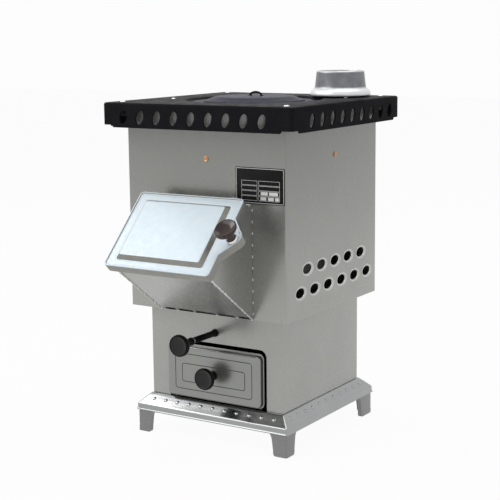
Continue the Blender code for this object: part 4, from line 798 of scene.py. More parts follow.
@dataclass
class MainCasing:
    """The upper casing, its funnelled oval air holes and its screws."""

    GAPS = ((-98, -72), (-66, -28.5), (-23, 25), (30.5, 71), (80.5, 107))
    FUNNEL = ((5.3, 0.1), (5.0, 0.55), (4.3, 0.85), (3.4, 0.8), (2.3, 0.35), (1.2, -0.4), (0.4, -1.4),
              (0.0, -2.8), (0.5, -3.3), (1.2, -3.0), (1.9, -1.8), (2.9, -0.7), (4.6, -0.4))
    CUP = ((2.6, 0.25), (5.0, 0.25), (5.5, 0.6), (5.4, 1.1), (4.7, 1.45), (4.0, 1.2), (3.4, 0.7), (2.6, 0.55))
    SCREW = ((0, -5.5), (1.9, -5.5), (1.9, 0.3), (3.0, 0.6), (2.9, 1.0), (1.8, 1.3), (0, 1.4))
    bench: Bench
    width: float = 378.0
    low: float = 275.1
    high: float = 694.2
    sheet: float = 1.5
    floor_opening: Pair = (311.0, 305.0)
    air_rows: tuple[tuple[int, float], ...] = ((6, 327.1), (5, 372.1))
    air_pitch: float = 56.3
    air_middle: float = 7.0
    air_length: float = 35.4
    air_height: float = 18.2
    air_cut: float = 3.4
    through: float = 8.0
    feed: Triple = (110.25, 278.1, 500.0)
    gap: Pair = (0.7, 3.0)
    screw: Pair = (5.0, 590.6)
    screw_hole: float = 2.3

    def build(self) -> None:
        """Make the casing and its screws."""
        inner, through = self.width - 2 * self.sheet, self.through
        mesh = stacked([Outline(self.width, self.width, 2.6, self.low),
                        Outline(self.width, self.width, 2.6, self.high),
                        Outline(inner, inner, 1.1, self.high),
                        Outline(inner, inner, 1.1, self.low + self.sheet),
                        Outline(*self.floor_opening, 1.1, self.low + self.sheet),
                        Outline(*self.floor_opening, 1.1, self.low)], closed=True)
        half = self.width / 2
        side, low, high = self.feed
        cuts = [brick((-side, -half - through, low), (side, -half + through, high))]
        gaps = [brick((left, -half - through, self.low + self.gap[0]),
                      (right, -half + through + 1, low + self.gap[1])) for left, right in self.GAPS]
        collars = []
        hole = [self.oval(self.air_cut, -through), self.oval(self.air_cut, through)]
        for place in self.air_places():
            for face in (-1, 1):
                seat = ((face * half, *place), (face, 0, 0))
                cuts.append(aimed(stacked(hole), *seat))
                funnel = [self.oval(*point) for point in self.FUNNEL]
                collars.append(aimed(stacked(funnel, closed=True), *seat))
        for place, outwards in self.screws().values():
            cuts.append(bar(place - outwards * through, place + outwards * through, self.screw_hole, 12))
        mesh = carved(carved(mesh, gaps, Join.CUT), cuts, Join.CUT)
        self.bench.piece("main_casing", mesh, Finish.CASING, STOVE, "galvanised", ["upper_casing"], edge=0.3)
        self.bench.piece("air_eyelets", merged(collars), Finish.EYELET, STOVE, "galvanised")
        for name, (place, outwards) in self.screws().items():
            self.screw_set(name, place, outwards)

    def air_places(self) -> list[Pair]:
        """Where the air holes are along Y and Z."""
        return [(self.air_middle + (number - (count - 1) / 2) * self.air_pitch, z)
                for count, z in self.air_rows for number in range(count)]

    def oval(self, grow: float, height: float) -> Oval:
        """An air hole's outline, grown on every side, at a height over the sheet."""
        return Oval(self.air_height + 2 * grow, self.air_length + 2 * grow, height)

    def screws(self) -> dict[str, tuple[Vector, Vector]]:
        """Where each face's screw is and which way it faces."""
        along, z = self.screw
        half = self.width / 2
        return {"front": (Vector((along, -half, z)), Vector((0, -1, 0))),
                "back": (Vector((along, half, z)), Vector((0, 1, 0))),
                "left": (Vector((-half, along, z)), Vector((-1, 0, 0))),
                "right": (Vector((half, along, z)), Vector((1, 0, 0)))}

    def screw_set(self, name: str, place: Vector, outwards: Vector) -> None:
        """A copper screw sunk in its cup, on the named face."""
        cup = lathed(self.CUP, 28, closed=True)
        self.bench.piece("screw_cup_" + name, aimed(cup, place, outwards), Finish.COPPER, STOVE, "brass")
        slot = turned(brick((-4, -0.45, 0.75), (4, 0.45, 3)), 37)
        head = aimed(carved(lathed(self.SCREW, 24), [slot], Join.CUT), place, outwards)
        self.bench.piece("copper_screw_" + name, head, Finish.COPPER, STOVE, "brass", ["brass_screw_" + name])


@dataclass
class HobPlate:
    """The pierced black plate with its cooking well, and the screws in it."""

    SCREWS = (*((f"plate_screw_{name}", (195 * x, 195 * y), 5.8) for x, y, name in CORNERS),
              ("hob_screw_right", (160, 104), 4.0), ("hob_screw_left", (-158, -69), 4.0))
    bench: Bench
    width: float = 450.0
    top: float = 699.0
    under: float = 694.5
    skirt: float = 654.0
    hem: float = 649.0
    hem_inset: float = 26.0
    sheet: float = 3.0
    corner: float = 9.0
    round_edge: float = 4.0
    floor: float = 694.8
    ledge: float = 690.0
    well_wall: float = 149.0
    cooking_hole: float = 122.0
    flue: Triple = (124.0, 148.0, 51.5)
    flue_hole: float = 38.0
    holes: int = 9
    pitch: float = 41.1
    shifts: tuple[float, ...] = (-7.6, 15.2, 2.0, 15.2)
    hole_size: Pair = (9.5, 14.0)
    hole_drop: float = 28.5
    hole_lean: float = 11.0
    bores: Pair = (670.0, 710.0)

    def build(self) -> None:
        """Make the plate and its screws."""
        full, inner = self.width, self.width - 2 * self.sheet
        tight = self.corner - self.sheet
        mesh = stacked([Outline(inner, inner, tight, self.under), Outline(inner, inner, tight, self.skirt),
                        Outline(full, full, self.corner, self.skirt)]
                       + rolled(Outline(full, full, self.corner, self.top), self.round_edge, 0.5), steps=8)
        hems = [turned(pushed([(x, -full / 2 + 0.4, z) for x, z in self.hem_outline()], (0, 2, 0)), quarter)
                for quarter in QUARTERS]
        wall = bar((0, 0, self.ledge - 3), (0, 0, self.under + 1.5), self.well_wall, 96)
        mesh = carved(carved(mesh, [wall] + hems, Join.WELD), [self.well()], Join.CUT)
        x, y, pad = self.flue
        seat = bar((x, y, (self.under + self.floor) / 2), (x, y, self.top + 0.05), pad, 64)
        mesh = carved(mesh, [seat], Join.WELD)
        low, high = self.bores
        cuts = [bar((0, 0, low), (0, 0, high), self.cooking_hole, 96),
                bar((x, y, low), (x, y, high), self.flue_hole, 48)]
        cuts += [turned(self.oval(number, shift), quarter) for quarter, shift in zip(QUARTERS, self.shifts)
                 for number in range(self.holes)]
        mesh = carved(mesh, cuts, Join.CUT)
        self.bench.piece("hob_plate", mesh, Finish.ENAMEL, STOVE, "enamel", ["top_plate"], edge=0.5)
        for name, place, radius in self.SCREWS:
            self.screw(name, place, radius)

    def hem_outline(self) -> list[Pair]:
        """The hem below the skirt, seen from the front."""
        reach = self.width / 2 - self.hem_inset
        right = [(reach - 2, self.hem), (reach, self.hem + 1), (reach + 3, self.skirt + 2)]
        return [(-x, z) for x, z in right[::-1]] + right

    def well(self) -> BMesh:
        """What is taken away for the cooking well."""
        floor, top = self.floor, self.top
        return lathed([(0, self.ledge), (128.3, self.ledge), (128.3, floor), (139.8, floor),
                       (141.2, floor + 0.35), (144.0, top - 1.0), (145.4, top - 0.3), (147.2, top + 0.02),
                       (147.2, top + 9), (0, top + 9)], 96)

    def oval(self, number: int, shift: float) -> BMesh:
        """A leaning oval hole's cutter on the front, by its number and the row's shift."""
        middle = (number - (self.holes - 1) / 2) * self.pitch + shift
        lean = math.tan(math.radians(self.hole_lean))
        across, along = self.hole_size
        points = []
        for turn in (2 * math.pi * step / 32 for step in range(32)):
            rise = along * math.sin(turn)
            points.append((middle + across * math.cos(turn) + lean * rise, -self.width / 2 - 8,
                           self.top - self.hole_drop + rise))
        return pushed(points, (0, 16, 0))

    def screw(self, name: str, place: Pair, radius: float) -> None:
        """A domed screw with a cross in its head.

        Args:
            name: the screw's name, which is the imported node's too.
            place: where it is on the plate.
            radius: its head's radius.
        """
        head = lathed([(0, -9.5), (2.0, -9.5), (2.0, 0.3), (radius, 0.3), (radius, 0.8), (radius * 0.9, 1.6),
                       (radius * 0.65, 2.3), (radius * 0.3, 2.65), (0, 2.7)], 32)
        for long, wide in ((radius * 0.5, 0.5), (0.5, radius * 0.5)):
            head = carved(head, [turned(brick((-long, -wide, 1.2), (long, wide, 4)), 28)], Join.CUT)
        head = aimed(head, (*place, self.top), (0, 0, 1))
        self.bench.piece(name + "_head", head, Finish.PLATED, STOVE, "bright_steel", [name])


@dataclass
class Hob:
    """The loose ring and the lid on it."""

    LID = ((0, -3), (91.4, -3), (92, -2.4), (92, 0), (105.3, 0), (106, 0.5), (106, 1.3), (105.2, 2.0),
           (101, 3.0), (95, 5.1), (89, 7.4), (84.5, 9.1), (82, 9.9), (78.5, 10.35), (70, 10.5), (40, 10.8),
           (0, 11.0))
    SHOE = ((0, -0.2), (4.2, -0.2), (4.2, 0.7), (3.2, 1.5), (0, 1.7))
    bench: Bench
    ledge: float = 690.3
    ring_top: float = 694.8
    lid: float = 695.1
    handle_middle: float = 4.0
    handle_size: Pair = (14.0, 7.3)
    handle_wire: float = 2.1

    def build(self) -> None:
        """Make the ring, the lid and its handle."""
        low, top = self.ledge, self.ring_top
        ring = lathed([(94, low), (128, low), (128, top - 0.5), (127.5, top), (118.5, top),
                       (117.8, top - 0.7), (116.4, top - 0.7), (115.7, top), (95, top), (94, top - 0.7)], 96,
                      closed=True)
        self.bench.piece("hob_ring_casting", ring, Finish.HOB, "hob_ring", "hob_iron", ["hob_ring"])
        lid = lathed([(radius, self.lid + height) for radius, height in self.LID], 96)
        self.bench.piece("hob_lid_casting", lid, Finish.HOB, "hob_lid", "hob_iron", ["hob_lid"])
        foot = self.lid + 10.6
        middle, (reach, rise) = self.handle_middle, self.handle_size
        path = [(middle + reach * math.cos(turn), 0, foot + 0.6 + rise * math.sin(turn))
                for turn in map(math.radians, range(-8, 189, 14))]
        shoes = [shifted(lathed([(radius, foot + height) for radius, height in self.SHOE], 24),
                         (middle + side * reach, 0, 0)) for side in (-1, 1)]
        handle = carved(swept(path, [self.handle_wire] * len(path), 16), shoes, Join.WELD)
        self.bench.piece("hob_lid_bail", handle, Finish.ENAMEL, "hob_lid", "hob_iron", ["hob_lid_handle"])


@dataclass
class Flue:
    """The flue's seat ring and its cast collar."""

    SEAT = ((42.5, 0), (51.2, 0), (51.5, 0.4), (51.5, 1.6), (51.2, 2), (42.5, 2))
    COLLAR = ((45, 0), (61.8, 0), (63.3, 0.3), (64.3, 1.2), (64.5, 2.8), (64.4, 5.0), (63.7, 7.9),
              (62.5, 10.3), (60.6, 12.5), (58.4, 14.2), (56.4, 15.4), (55.1, 16.6), (54.4, 18.4), (53.7, 24),
              (52.7, 32), (51.7, 41), (51.2, 46.0), (50.9, 49.2), (50.4, 51.0), (49.4, 52.1), (48.1, 52.5),
              (47.0, 52.2), (46.5, 51.0), (47.3, 36), (49.9, 18), (49.9, 4.5), (45, 4.5))
    bench: Bench
    place: Pair = (124.0, 148.0)
    seat: float = 699.3
    collar: float = 701.6

    def build(self) -> None:
        """Make both rings."""
        seat = shifted(lathed(self.SEAT, 64, closed=True), (*self.place, self.seat))
        self.bench.piece("flue_seat", seat, Finish.HOB, STOVE, "hob_iron", ["flue_seat_ring"])
        collar = shifted(lathed(self.COLLAR, 96, closed=True), (*self.place, self.collar))
        self.bench.piece("flue_casting", collar, Finish.FLUE, STOVE, "flue_metal", ["flue_collar"])


@dataclass
class Hopper:
    """The folded feed hopper, with its weld beads and tacks."""

    BOTTOM_TACKS = (-109.5, -69, -25.7, 27.8, 75.7, 110.2)
    SIDE_TACKS = range(288, 500, 23)
    BOTTOM_TACK = ((0, -1.6), (1.2, -1.4), (2.1, -0.6), (2.3, 0.3), (1.7, 1.2), (0, 1.7))
    SIDE_TACK = ((0, -3.2), (0.9, -2.2), (1.4, 0), (1.0, 2.0), (0, 3.4))
    bench: Bench
    half: float = 111.75
    back: float = -189.3
    low: float = 275.1
    mouth_low: Pair = (-349.21, 391.21)
    mouth_top: Pair = (-238.90, 501.53)
    sheet: float = 1.5
    slot: Pair = (9.0, 7.6)
    past: float = 30.0
    bead_start: float = 6.0
    bead_step: float = 3.75
    bead_steps: int = 49

    def build(self) -> None:
        """Make the hopper and dress its fixings."""
        half, back, low = self.half, self.back, self.low
        outline = [(back, low), self.mouth_low, self.mouth_top, (back, self.mouth_top[1])]
        mesh = pushed([(-half, y, z) for y, z in outline], (2 * half, 0, 0))
        slope = (Vector(self.mouth_low) - Vector((back, low))).normalized()
        inwards = Vector((slope.y, -slope.x)) * self.sheet
        start = Vector((back, low)) + inwards - slope * self.past
        end = Vector(self.mouth_low) + inwards + slope * self.past
        roof, wall = self.mouth_top[1] - self.sheet, half - self.sheet
        inside = [(start.x, start.y), (end.x, end.y), (end.x, roof), (start.x, roof)]
        mesh = carved(mesh, [pushed([(-wall, y, z) for y, z in inside], (2 * wall, 0, 0))], Join.CUT)
        deep, tall = self.slot
        slots = [brick((left, back - deep, low - 6), (right, back + 4, low + tall))
                 for left, right in MainCasing.GAPS]
        mesh = carved(mesh, slots, Join.CUT)
        self.bench.piece("hopper_sheet", mesh, Finish.CASING, STOVE, "galvanised", ["hopper_body"], edge=0.5)
        for side, name in ((-1, "left"), (1, "right")):
            self.bench.piece("fold_weld_" + name, self.bead(slope, side), Finish.WELD, STOVE, "galvanised")
        self.bench.piece("hopper_tacks", merged(self.tacks()), Finish.WELD, STOVE, "galvanised")
        self.bench.dress(Finish.PLATED, "hinge_pin")
        self.bench.dress(Finish.CASING, "hinge_lug_left", "hinge_lug_right")

    def bead(self, slope: Vector, side: int) -> BMesh:
        """The uneven weld along a lower fold, up the underside's slope, on one side."""
        points, radii = [], []
        for step in range(self.bead_steps):
            wander = math.sin(step * 2.1) * 0.5 + math.sin(step * 5.3 + 1) * 0.45
            spot = Vector((self.back, self.low)) + slope * (self.bead_start + step * self.bead_step)
            points.append((side * (self.half - 0.3 + 0.25 * wander), spot.x, spot.y + 0.6 * wander))
            radii.append(1.3 + step * 0.016 + 0.4 * math.sin(step * 1.7 + side) + 0.3 * math.sin(step * 4.1))
        return swept(points, radii)

    def tacks(self) -> list[BMesh]:
        """The tacks on the bottom edge and up both sides."""
        made = [shifted(lathed(self.BOTTOM_TACK, 16), (x, self.back - 1.4, self.low + 1.0))
                for x in self.BOTTOM_TACKS]
        made += [shifted(lathed(self.SIDE_TACK, 12), (side * (self.half + 0.2), self.back + 0.2, z))
                 for z in self.SIDE_TACKS for side in (-1, 1)]
        return made


@dataclass
class HopperLid:
    """The cast lid with its beaded rim, raised panel and ear, and its knob."""

    BEAD = ((0.35, 0.75), (0.5, 0.45), (0.6, 0.3), (1.5, 0.0), (0.4, -0.5), (0.6, -1.1), (0.8, -0.5),
            (0.6, 0.3))
    PANEL = ((202.6, 146.6, 5.0, -3.2), (202.6, 146.6, 5.0, -1.65), (201.4, 145.4, 4.8, -1.0),
             (189.6, 133.6, 4.2, 4.9), (188.0, 132.0, 4.0, 5.7), (185.0, 129.0, 3.8, 6.0))
    FERRULE = ((3.3, 0), (12.0, 0), (12.3, 0.5), (12.0, 1.5), (11.2, 2.3), (10.9, 3.2), (10.5, 4.0),
               (3.3, 4.0))
    KNOB = ((0, 13), (3.3, 13), (3.3, 0), (10.2, 0), (10.5, 0.6), (10.1, 2.0), (9.6, 5.0), (9.7, 8.0),
            (10.7, 11.5), (13.0, 15.2), (16.6, 18.8), (20.0, 21.6), (22.0, 23.8), (22.8, 25.8), (22.7, 27.4),
            (21.9, 28.7), (20.7, 29.0), (19.4, 28.5), (16.0, 27.4), (11.0, 26.4), (5.5, 25.9), (0, 25.7))
    SCREW = ((0, -39), (2.9, -39), (2.9, 0), (5.5, 0), (5.4, 1.6), (4.2, 2.6), (0, 3.0))
    bench: Bench
    top_edge: Pair = (-233.6, 523.8)
    width: float = 247.0
    length: float = 183.2
    corner: float = 8.5
    skirt: float = 20.0
    wall: float = 4.0
    top: float = 4.0
    face: float = -1.5
    panel_line: float = -92.5
    panel_reach: Pair = (101.5, 73.5)
    bare_below: float = -4.0
    ear: Triple = (137.0, 89.5, 18.0)
    ear_root: Pair = (50.0, 129.0)
    ear_fillet: float = 7.0
    knob: Pair = (137.0, 95.0)
    bore: float = 3.3
    hinge: Pair = (4.6, -27.4)
    knuckles: Triple = (93.0, 8.0, 4.5)
    pin_hole: float = 2.8

    def frame(self) -> Matrix:
        """The lid's frame: Y up its slope from its top edge, Z out of it."""
        half = math.sqrt(0.5)
        y, z = self.top_edge
        return Matrix.Translation((0, y * MM, z * MM)) @ Matrix((
            (1, 0, 0, 0), (0, half, -half, 0), (0, half, half, 0), (0, 0, 0, 1)))

    def build(self) -> None:
        """Make the lid, dress its seal and make its knob."""
        mesh = self.casting()
        # The second finish is bare metal on the skirt and painted shade on the panel's bevel and the bead's
        # groove.
        for face in mesh.faces:
            face.material_index = int(self.bare(face))
        mesh.transform(self.frame())
        self.bench.piece("cast_lid", mesh, Finish.LID, "hopper_lid", "lid_casting", ["hopper_lid"], edge=0.45,
                         sharp=38, trim=Finish.LID_EDGE)
        self.bench.dress(Finish.FIBRE, "lid_seal")
        self.knob_set()

    def bare(self, face: BMFace) -> bool:
        """Whether a face takes the lid's second finish: the skirt, which is bare metal, and the panel's bevel
        and the groove inside the bead, where it is painted shade.
        """
        spot = face.calc_center_median() / MM
        if spot.z < self.bare_below:
            return True
        away = spot - Vector((0, self.panel_line, spot.z))
        if abs(away.x) < self.panel_reach[0] and abs(away.y) < self.panel_reach[1]:
            return face.normal.z < 0.95
        return face.normal.z < 0.8 and face.normal.dot(away) < 0.6 * face.normal.z

    def outline(self) -> list[Pair]:
        """The lid's outline with its ear, clockwise from the top left corner."""
        half, low, corner = self.width / 2, -self.length, self.corner
        x, slope, radius = self.ear
        start, stop = self.ear_root
        fillet = self.ear_fillet
        swing = ((half, fillet), (half + fillet * 0.12, fillet * 0.4), (half + fillet * 0.45, 0))
        return [*arc((-half + corner, -corner), corner, 180, 90, 6),
                *arc((half - corner, -corner), corner, 90, 0, 6),
                *((across, away - start) for across, away in swing),
                *arc((x, -slope), radius, 52, -52, 12),
                *((across, -away - stop) for across, away in swing[::-1]),
                *arc((half - corner, low + corner), corner, 0, -90, 6),
                *arc((-half + corner, low + corner), corner, -90, -180, 6)]

    def casting(self) -> BMesh:
        """The lid itself, in its own frame: its skirt, bead, cavity, panel, knuckles and bores."""
        mesh = bmesh.new()
        face = mesh.faces.new([mesh.verts.new(Vector((x, y, self.face)) * MM) for x, y in self.outline()])
        bmesh.ops.recalc_face_normals(mesh, faces=mesh.faces)
        if face.normal.z < 0:
            face.normal_flip()
        grown = bmesh.ops.extrude_face_region(mesh, geom=[face])
        top = next(item for item in grown["geom"] if isinstance(item, BMFace))
        base = [vert for vert in mesh.verts if vert not in top.verts]
        bmesh.ops.translate(mesh, verts=base, vec=(0, 0, (-self.skirt - self.face) * MM))
        if not any(len(item.verts) == len(base) and item is not top for item in mesh.faces):
            bmesh.ops.contextual_create(mesh, geom=[edge for edge in mesh.edges if edge.is_boundary])
        for thickness, depth in self.BEAD:
            bmesh.ops.inset_region(mesh, faces=[top], thickness=thickness * MM, depth=depth * MM,
                                   use_even_offset=True, use_boundary=True)
        inner = (self.width - 2 * self.wall, self.length - 2 * self.wall, 5)
        cavity = [Outline(*inner, height, (0, -self.length / 2))
                  for height in (-self.skirt - 5, -self.top - 1.5)]
        mesh = carved(mesh, [stacked(cavity)], Join.CUT)
        panel = [Outline(*sizes, (0, self.panel_line)) for sizes in self.PANEL]
        mesh = carved(mesh, [stacked(panel)] + [self.knuckle(side) for side in (-1, 1)], Join.WELD)
        x, slope = self.knob
        y, z = self.hinge
        middle, half = self.knuckles[0], self.knuckles[1] + 5
        bores = [bar((x, -slope, -30), (x, -slope, 10), self.bore)]
        bores += [bar((side * (middle - half), y, z), (side * (middle + half), y, z), self.pin_hole)
                  for side in (-1, 1)]
        return carved(mesh, bores, Join.CUT)

    def knuckle(self, side: int) -> BMesh:
        """A hinge knuckle below the lid's top edge, in the lid's frame: side is -1 for left, 1 for right."""
        y, z = self.hinge
        middle, half, radius = self.knuckles
        points = [(-2, -9), (-2, -18.5), *arc((y, z), radius, -150, 30, 12), (y + 3.2, -9)]
        return pushed([(side * middle - half, first, second) for first, second in points], (2 * half, 0, 0))

    def knob_set(self) -> None:
        """The knob, its ferrule and the screw that holds it."""
        frame = self.frame()
        out = frame.to_3x3() @ Vector((0, 0, 1))
        x, slope = self.knob

        def place(height: float) -> Vector:
            """A point on the knob's axis, in millimetres."""
            return (frame @ (Vector((x, -slope, height)) * MM)) / MM

        screw = carved(lathed(self.SCREW, 32), [brick((-6, -0.6, 1.4), (6, 0.6, 5))], Join.CUT)
        for name, mesh, finish, slot, node in (
                ("knob_ferrule", aimed(lathed(self.FERRULE, 48, closed=True), place(-0.7), out),
                 Finish.PLATED, "bright_steel", "lid_knob_ferrule"),
                ("lid_knob_moulding", aimed(lathed(self.KNOB, 64), place(3.6), out),
                 Finish.BROWN, "brown_bakelite", "lid_knob"),
                ("knob_screw", aimed(screw, place(-self.skirt - 0.3), -out),
                 Finish.PLATED, "bright_steel", "lid_knob_screw")):
            self.bench.piece(name, mesh, finish, "hopper_lid", slot, [node])


@dataclass
class Nameplate:
    """The bare data plate: a dark sheet with a light border, empty ruled boxes and blank fields."""

    BOXES = tuple((x, y, wide, 9) for y in (5.5, -4.5, -14.5, -24.5) for x, wide in ((-24, 36), (21, 48)))
    FIELDS = ((31, -14.5, 20), (10, -14.5, 16), (8, -24.5, 13), (25, -24.5, 13), (39, -24.5, 9))
    bench: Bench
    left: float = 75.0
    right: float = 186.5
    low: float = 508.1
    high: float = 579.1
    front: float = -189.3
    field_height: float = 6.4

    def build(self) -> None:
        """Make the plate and its ruled lines."""
        width, height = self.right - self.left, self.high - self.low
        stand = upright(((self.left + self.right) / 2, self.front, (self.low + self.high) / 2))
        sheet = stacked([Outline(width, height, 2, 0), Outline(width, height, 2, 0.75),
                         Outline(width - 0.5, height - 0.5, 1.9, 1.0)])
        sheet.transform(stand)
        self.bench.piece("data_plate", sheet, Finish.PLATE_SHEET, STOVE, "enamel", ["nameplate"], edge=0.15)
        lines = [self.rule(width - 3.2, height - 3.2, 0.9, 1.6)]
        lines += [shifted(self.rule(wide, tall, 0.55, 0.6), (x, y, 0)) for x, y, wide, tall in self.BOXES]
        for x, y, wide in self.FIELDS:
            field = [Outline(wide, self.field_height, 0.6, level) for level in (0.9, 1.04)]
            lines.append(shifted(stacked(field, steps=3), (x, y, 0)))
        for line in lines:
            line.transform(stand)
        self.bench.piece("data_plate_rules", merged(lines), Finish.PRINT, STOVE, "bright_steel")

    def rule(self, width: float, height: float, line: float, radius: float) -> BMesh:
        """A thin raised rule, lying flat round a rectangle with rounded corners."""
        inner = (width - 2 * line, height - 2 * line, max(radius - line, 0.1))
        return stacked([Outline(width, height, radius, 0.9), Outline(width, height, radius, 1.06),
                        Outline(*inner, 1.06), Outline(*inner, 0.9)], closed=True, steps=3)


@dataclass
class Drawer:
    """The ash drawer's pressed front and knob."""

    HEM = ((-3, -3, 8.5, 12.5), (-3, -3, 8.5, 0), (2.4, 6.0, 11.5, 0), (3.0, 6.4, 11.7, 0.4),
           (3.0, 6.4, 11.7, 1.1), (1.6, 2.6, 10.8, 1.7), (0, 0, 10, 1.9))
    GROOVES = ((190, 77, 7, 0.75), (156, 40, 6, -1.5))
    KNOB = ((0, 16), (3.3, 16), (3.3, 0), (9.6, 0), (10.0, 1.0), (9.2, 3.0), (8.6, 7), (8.9, 11.5),
            (10.6, 15.6), (14.4, 19.6), (18.6, 23.0), (21.6, 26.4), (22.8, 30.0), (22.8, 32.6), (22.1, 34.8),
            (20.9, 35.9), (19.5, 35.7), (18.4, 34.9), (13.0, 33.9), (6.0, 33.3), (0, 33.1))
    bench: Bench
    middle: float = 1.0
    face: float = -170.5
    low: float = 87.3
    width: float = 228.0
    height: float = 108.2
    depth: float = 14.0
    edge: float = 3.4
    groove_width: float = 1.7
    groove_depths: Pair = (0.1, 0.7)
    knob_height: float = 142.3
    bore: float = 3.3
    dish: Pair = (19.0, 32.0)

    def build(self) -> None:
        """Make the front and the knob, and dress the box."""
        width, height, depth = self.width, self.height, self.depth
        outlines = [Outline(width + wider, height + taller, corner, level)
                    for wider, taller, corner, level in self.HEM]
        pan = stacked(outlines + rolled(Outline(width, height, 10, depth), self.edge, 0.4), steps=8)
        pan = carved(pan, [self.groove(*sizes) for sizes in self.GROOVES], Join.CUT)
        rise = self.knob_height - self.low - height / 2
        pan = carved(pan, [bar((0, rise, -5), (0, rise, 20), self.bore)], Join.CUT)
        shallow, deep = self.groove_depths
        # Painted shade: the grooves' faces take the dark second finish, standing in for the shade in them.
        for face in pan.faces:
            spot = face.calc_center_median() / MM
            face.material_index = int(abs(spot.x) < width / 2 - 10 and shallow < depth - spot.z < deep)
        pan.transform(upright((self.middle, self.face + depth, self.low + height / 2)))
        self.bench.piece("drawer_pressing", pan, Finish.DRAWER, "ash_drawer", "galvanised", ["drawer_front"],
                         edge=0.3, sharp=38, trim=Finish.GRIME)
        knob = aimed(dished(lathed(self.KNOB, 64), *self.dish),
                     (self.middle, self.face - 0.3, self.knob_height), (0, -1, 0))
        self.bench.piece("drawer_knob_moulding", knob, Finish.BLACK, "ash_drawer", "black_bakelite",
                         ["drawer_knob"], trim=Finish.WORN)
        self.bench.dress(Finish.PLATED, "drawer_knob_screw")
        self.bench.dress(Finish.PLAIN, "drawer_box", "drawer_runner_left", "drawer_runner_right")

    def groove(self, width: float, height: float, radius: float, rise: float) -> BMesh:
        """The cutter for a pressed groove round a rectangle on the front.

        Args:
            width: the rectangle's width.
            height: the rectangle's height.
            radius: its corners' radius.
            rise: its middle above the front's middle.

        Returns:
            The cutter, in the front's own frame.
        """
        line, depth = self.groove_width, self.depth
        path = ((0, 3), (0, -0.05), (0.5, -0.6), (1, -0.05), (1, 3))
        return stacked([Outline(width - 2 * line * share, height - 2 * line * share, radius - line * share,
                                depth + level, (0, rise)) for share, level in path], closed=True, steps=8)


@dataclass
class Shaker:
    """The push-pull shaker: its knob, collar and sleeve."""

    SLEEVE = ((4.3, 0), (7.6, 0), (8.2, 0.7), (8.3, 2.6), (7.9, 4.6), (6.9, 6.0), (6.5, 8), (6.4, 40),
              (6.5, 77.2), (6.0, 78), (4.3, 78))
    COLLAR = ((4.3, 0), (5.4, 0), (5.9, 0.8), (5.2, 1.8), (5.9, 3.0), (5.2, 4.2), (5.8, 5.2), (5.4, 6),
              (4.3, 6))
    KNOB = ((0, 20), (4.3, 20), (4.3, 0), (8.0, 0), (8.4, 0.8), (8.1, 3), (7.9, 12), (8.8, 20), (11.8, 26.4),
            (16.6, 31.2), (20.2, 34.8), (22.0, 38.6), (22.4, 41.8), (22.0, 44.8), (21.0, 46.6), (19.7, 46.9),
            (18.5, 46.2), (13.0, 44.9), (6.0, 44.2), (0, 44.0))
    bench: Bench
    x: float = 0.0
    z: float = 230.0
    casing: float = -158.5
    dish: Pair = (19.0, 43.0)

    def build(self) -> None:
        """Make the pieces outside the casing and dress those inside."""
        knob = dished(lathed(self.KNOB, 64), *self.dish)
        for name, mesh, out, finish, slot, node in (
                ("shaker_grip", lathed(self.SLEEVE, 40, closed=True), 0.3, Finish.BLACK, "black_bakelite",
                 "shaker_sleeve"),
                ("shaker_ferrule", lathed(self.COLLAR, 40, closed=True), 78.6, Finish.PLAIN, "bright_steel",
                 "shaker_collar"),
                ("shaker_knob_moulding", knob, 84.9, Finish.BLACK, "black_bakelite", "shaker_knob")):
            placed = aimed(mesh, (self.x, self.casing - out, self.z), (0, -1, 0))
            self.bench.piece(name, placed, finish, "grate_shaker", slot, [node],
                             trim=Finish.WORN if mesh is knob else None)
        self.bench.dress(Finish.PLATED, "rod_bush", "shaker_rod")
        self.bench.dress(Finish.GRATE, "sliding_grate")


@dataclass
class Inside:
    """What is behind the sheet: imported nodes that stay, with finishes of their own."""

    bench: Bench

    def build(self) -> None:
        """Dress the inner nodes."""
        dress = self.bench.dress
        dress(Finish.PLAIN, "grate_rail_left", "grate_rail_right", "fire_box", "feed_chute", "smoke_pan",
              *(f"plate_bracket_{name}" for _, _, name in CORNERS))
        dress(Finish.GRATE, "hearth_plate", "air_ring")
        dress(Finish.BRICK, "fire_brick_left", "fire_brick_right", "fire_brick_back")


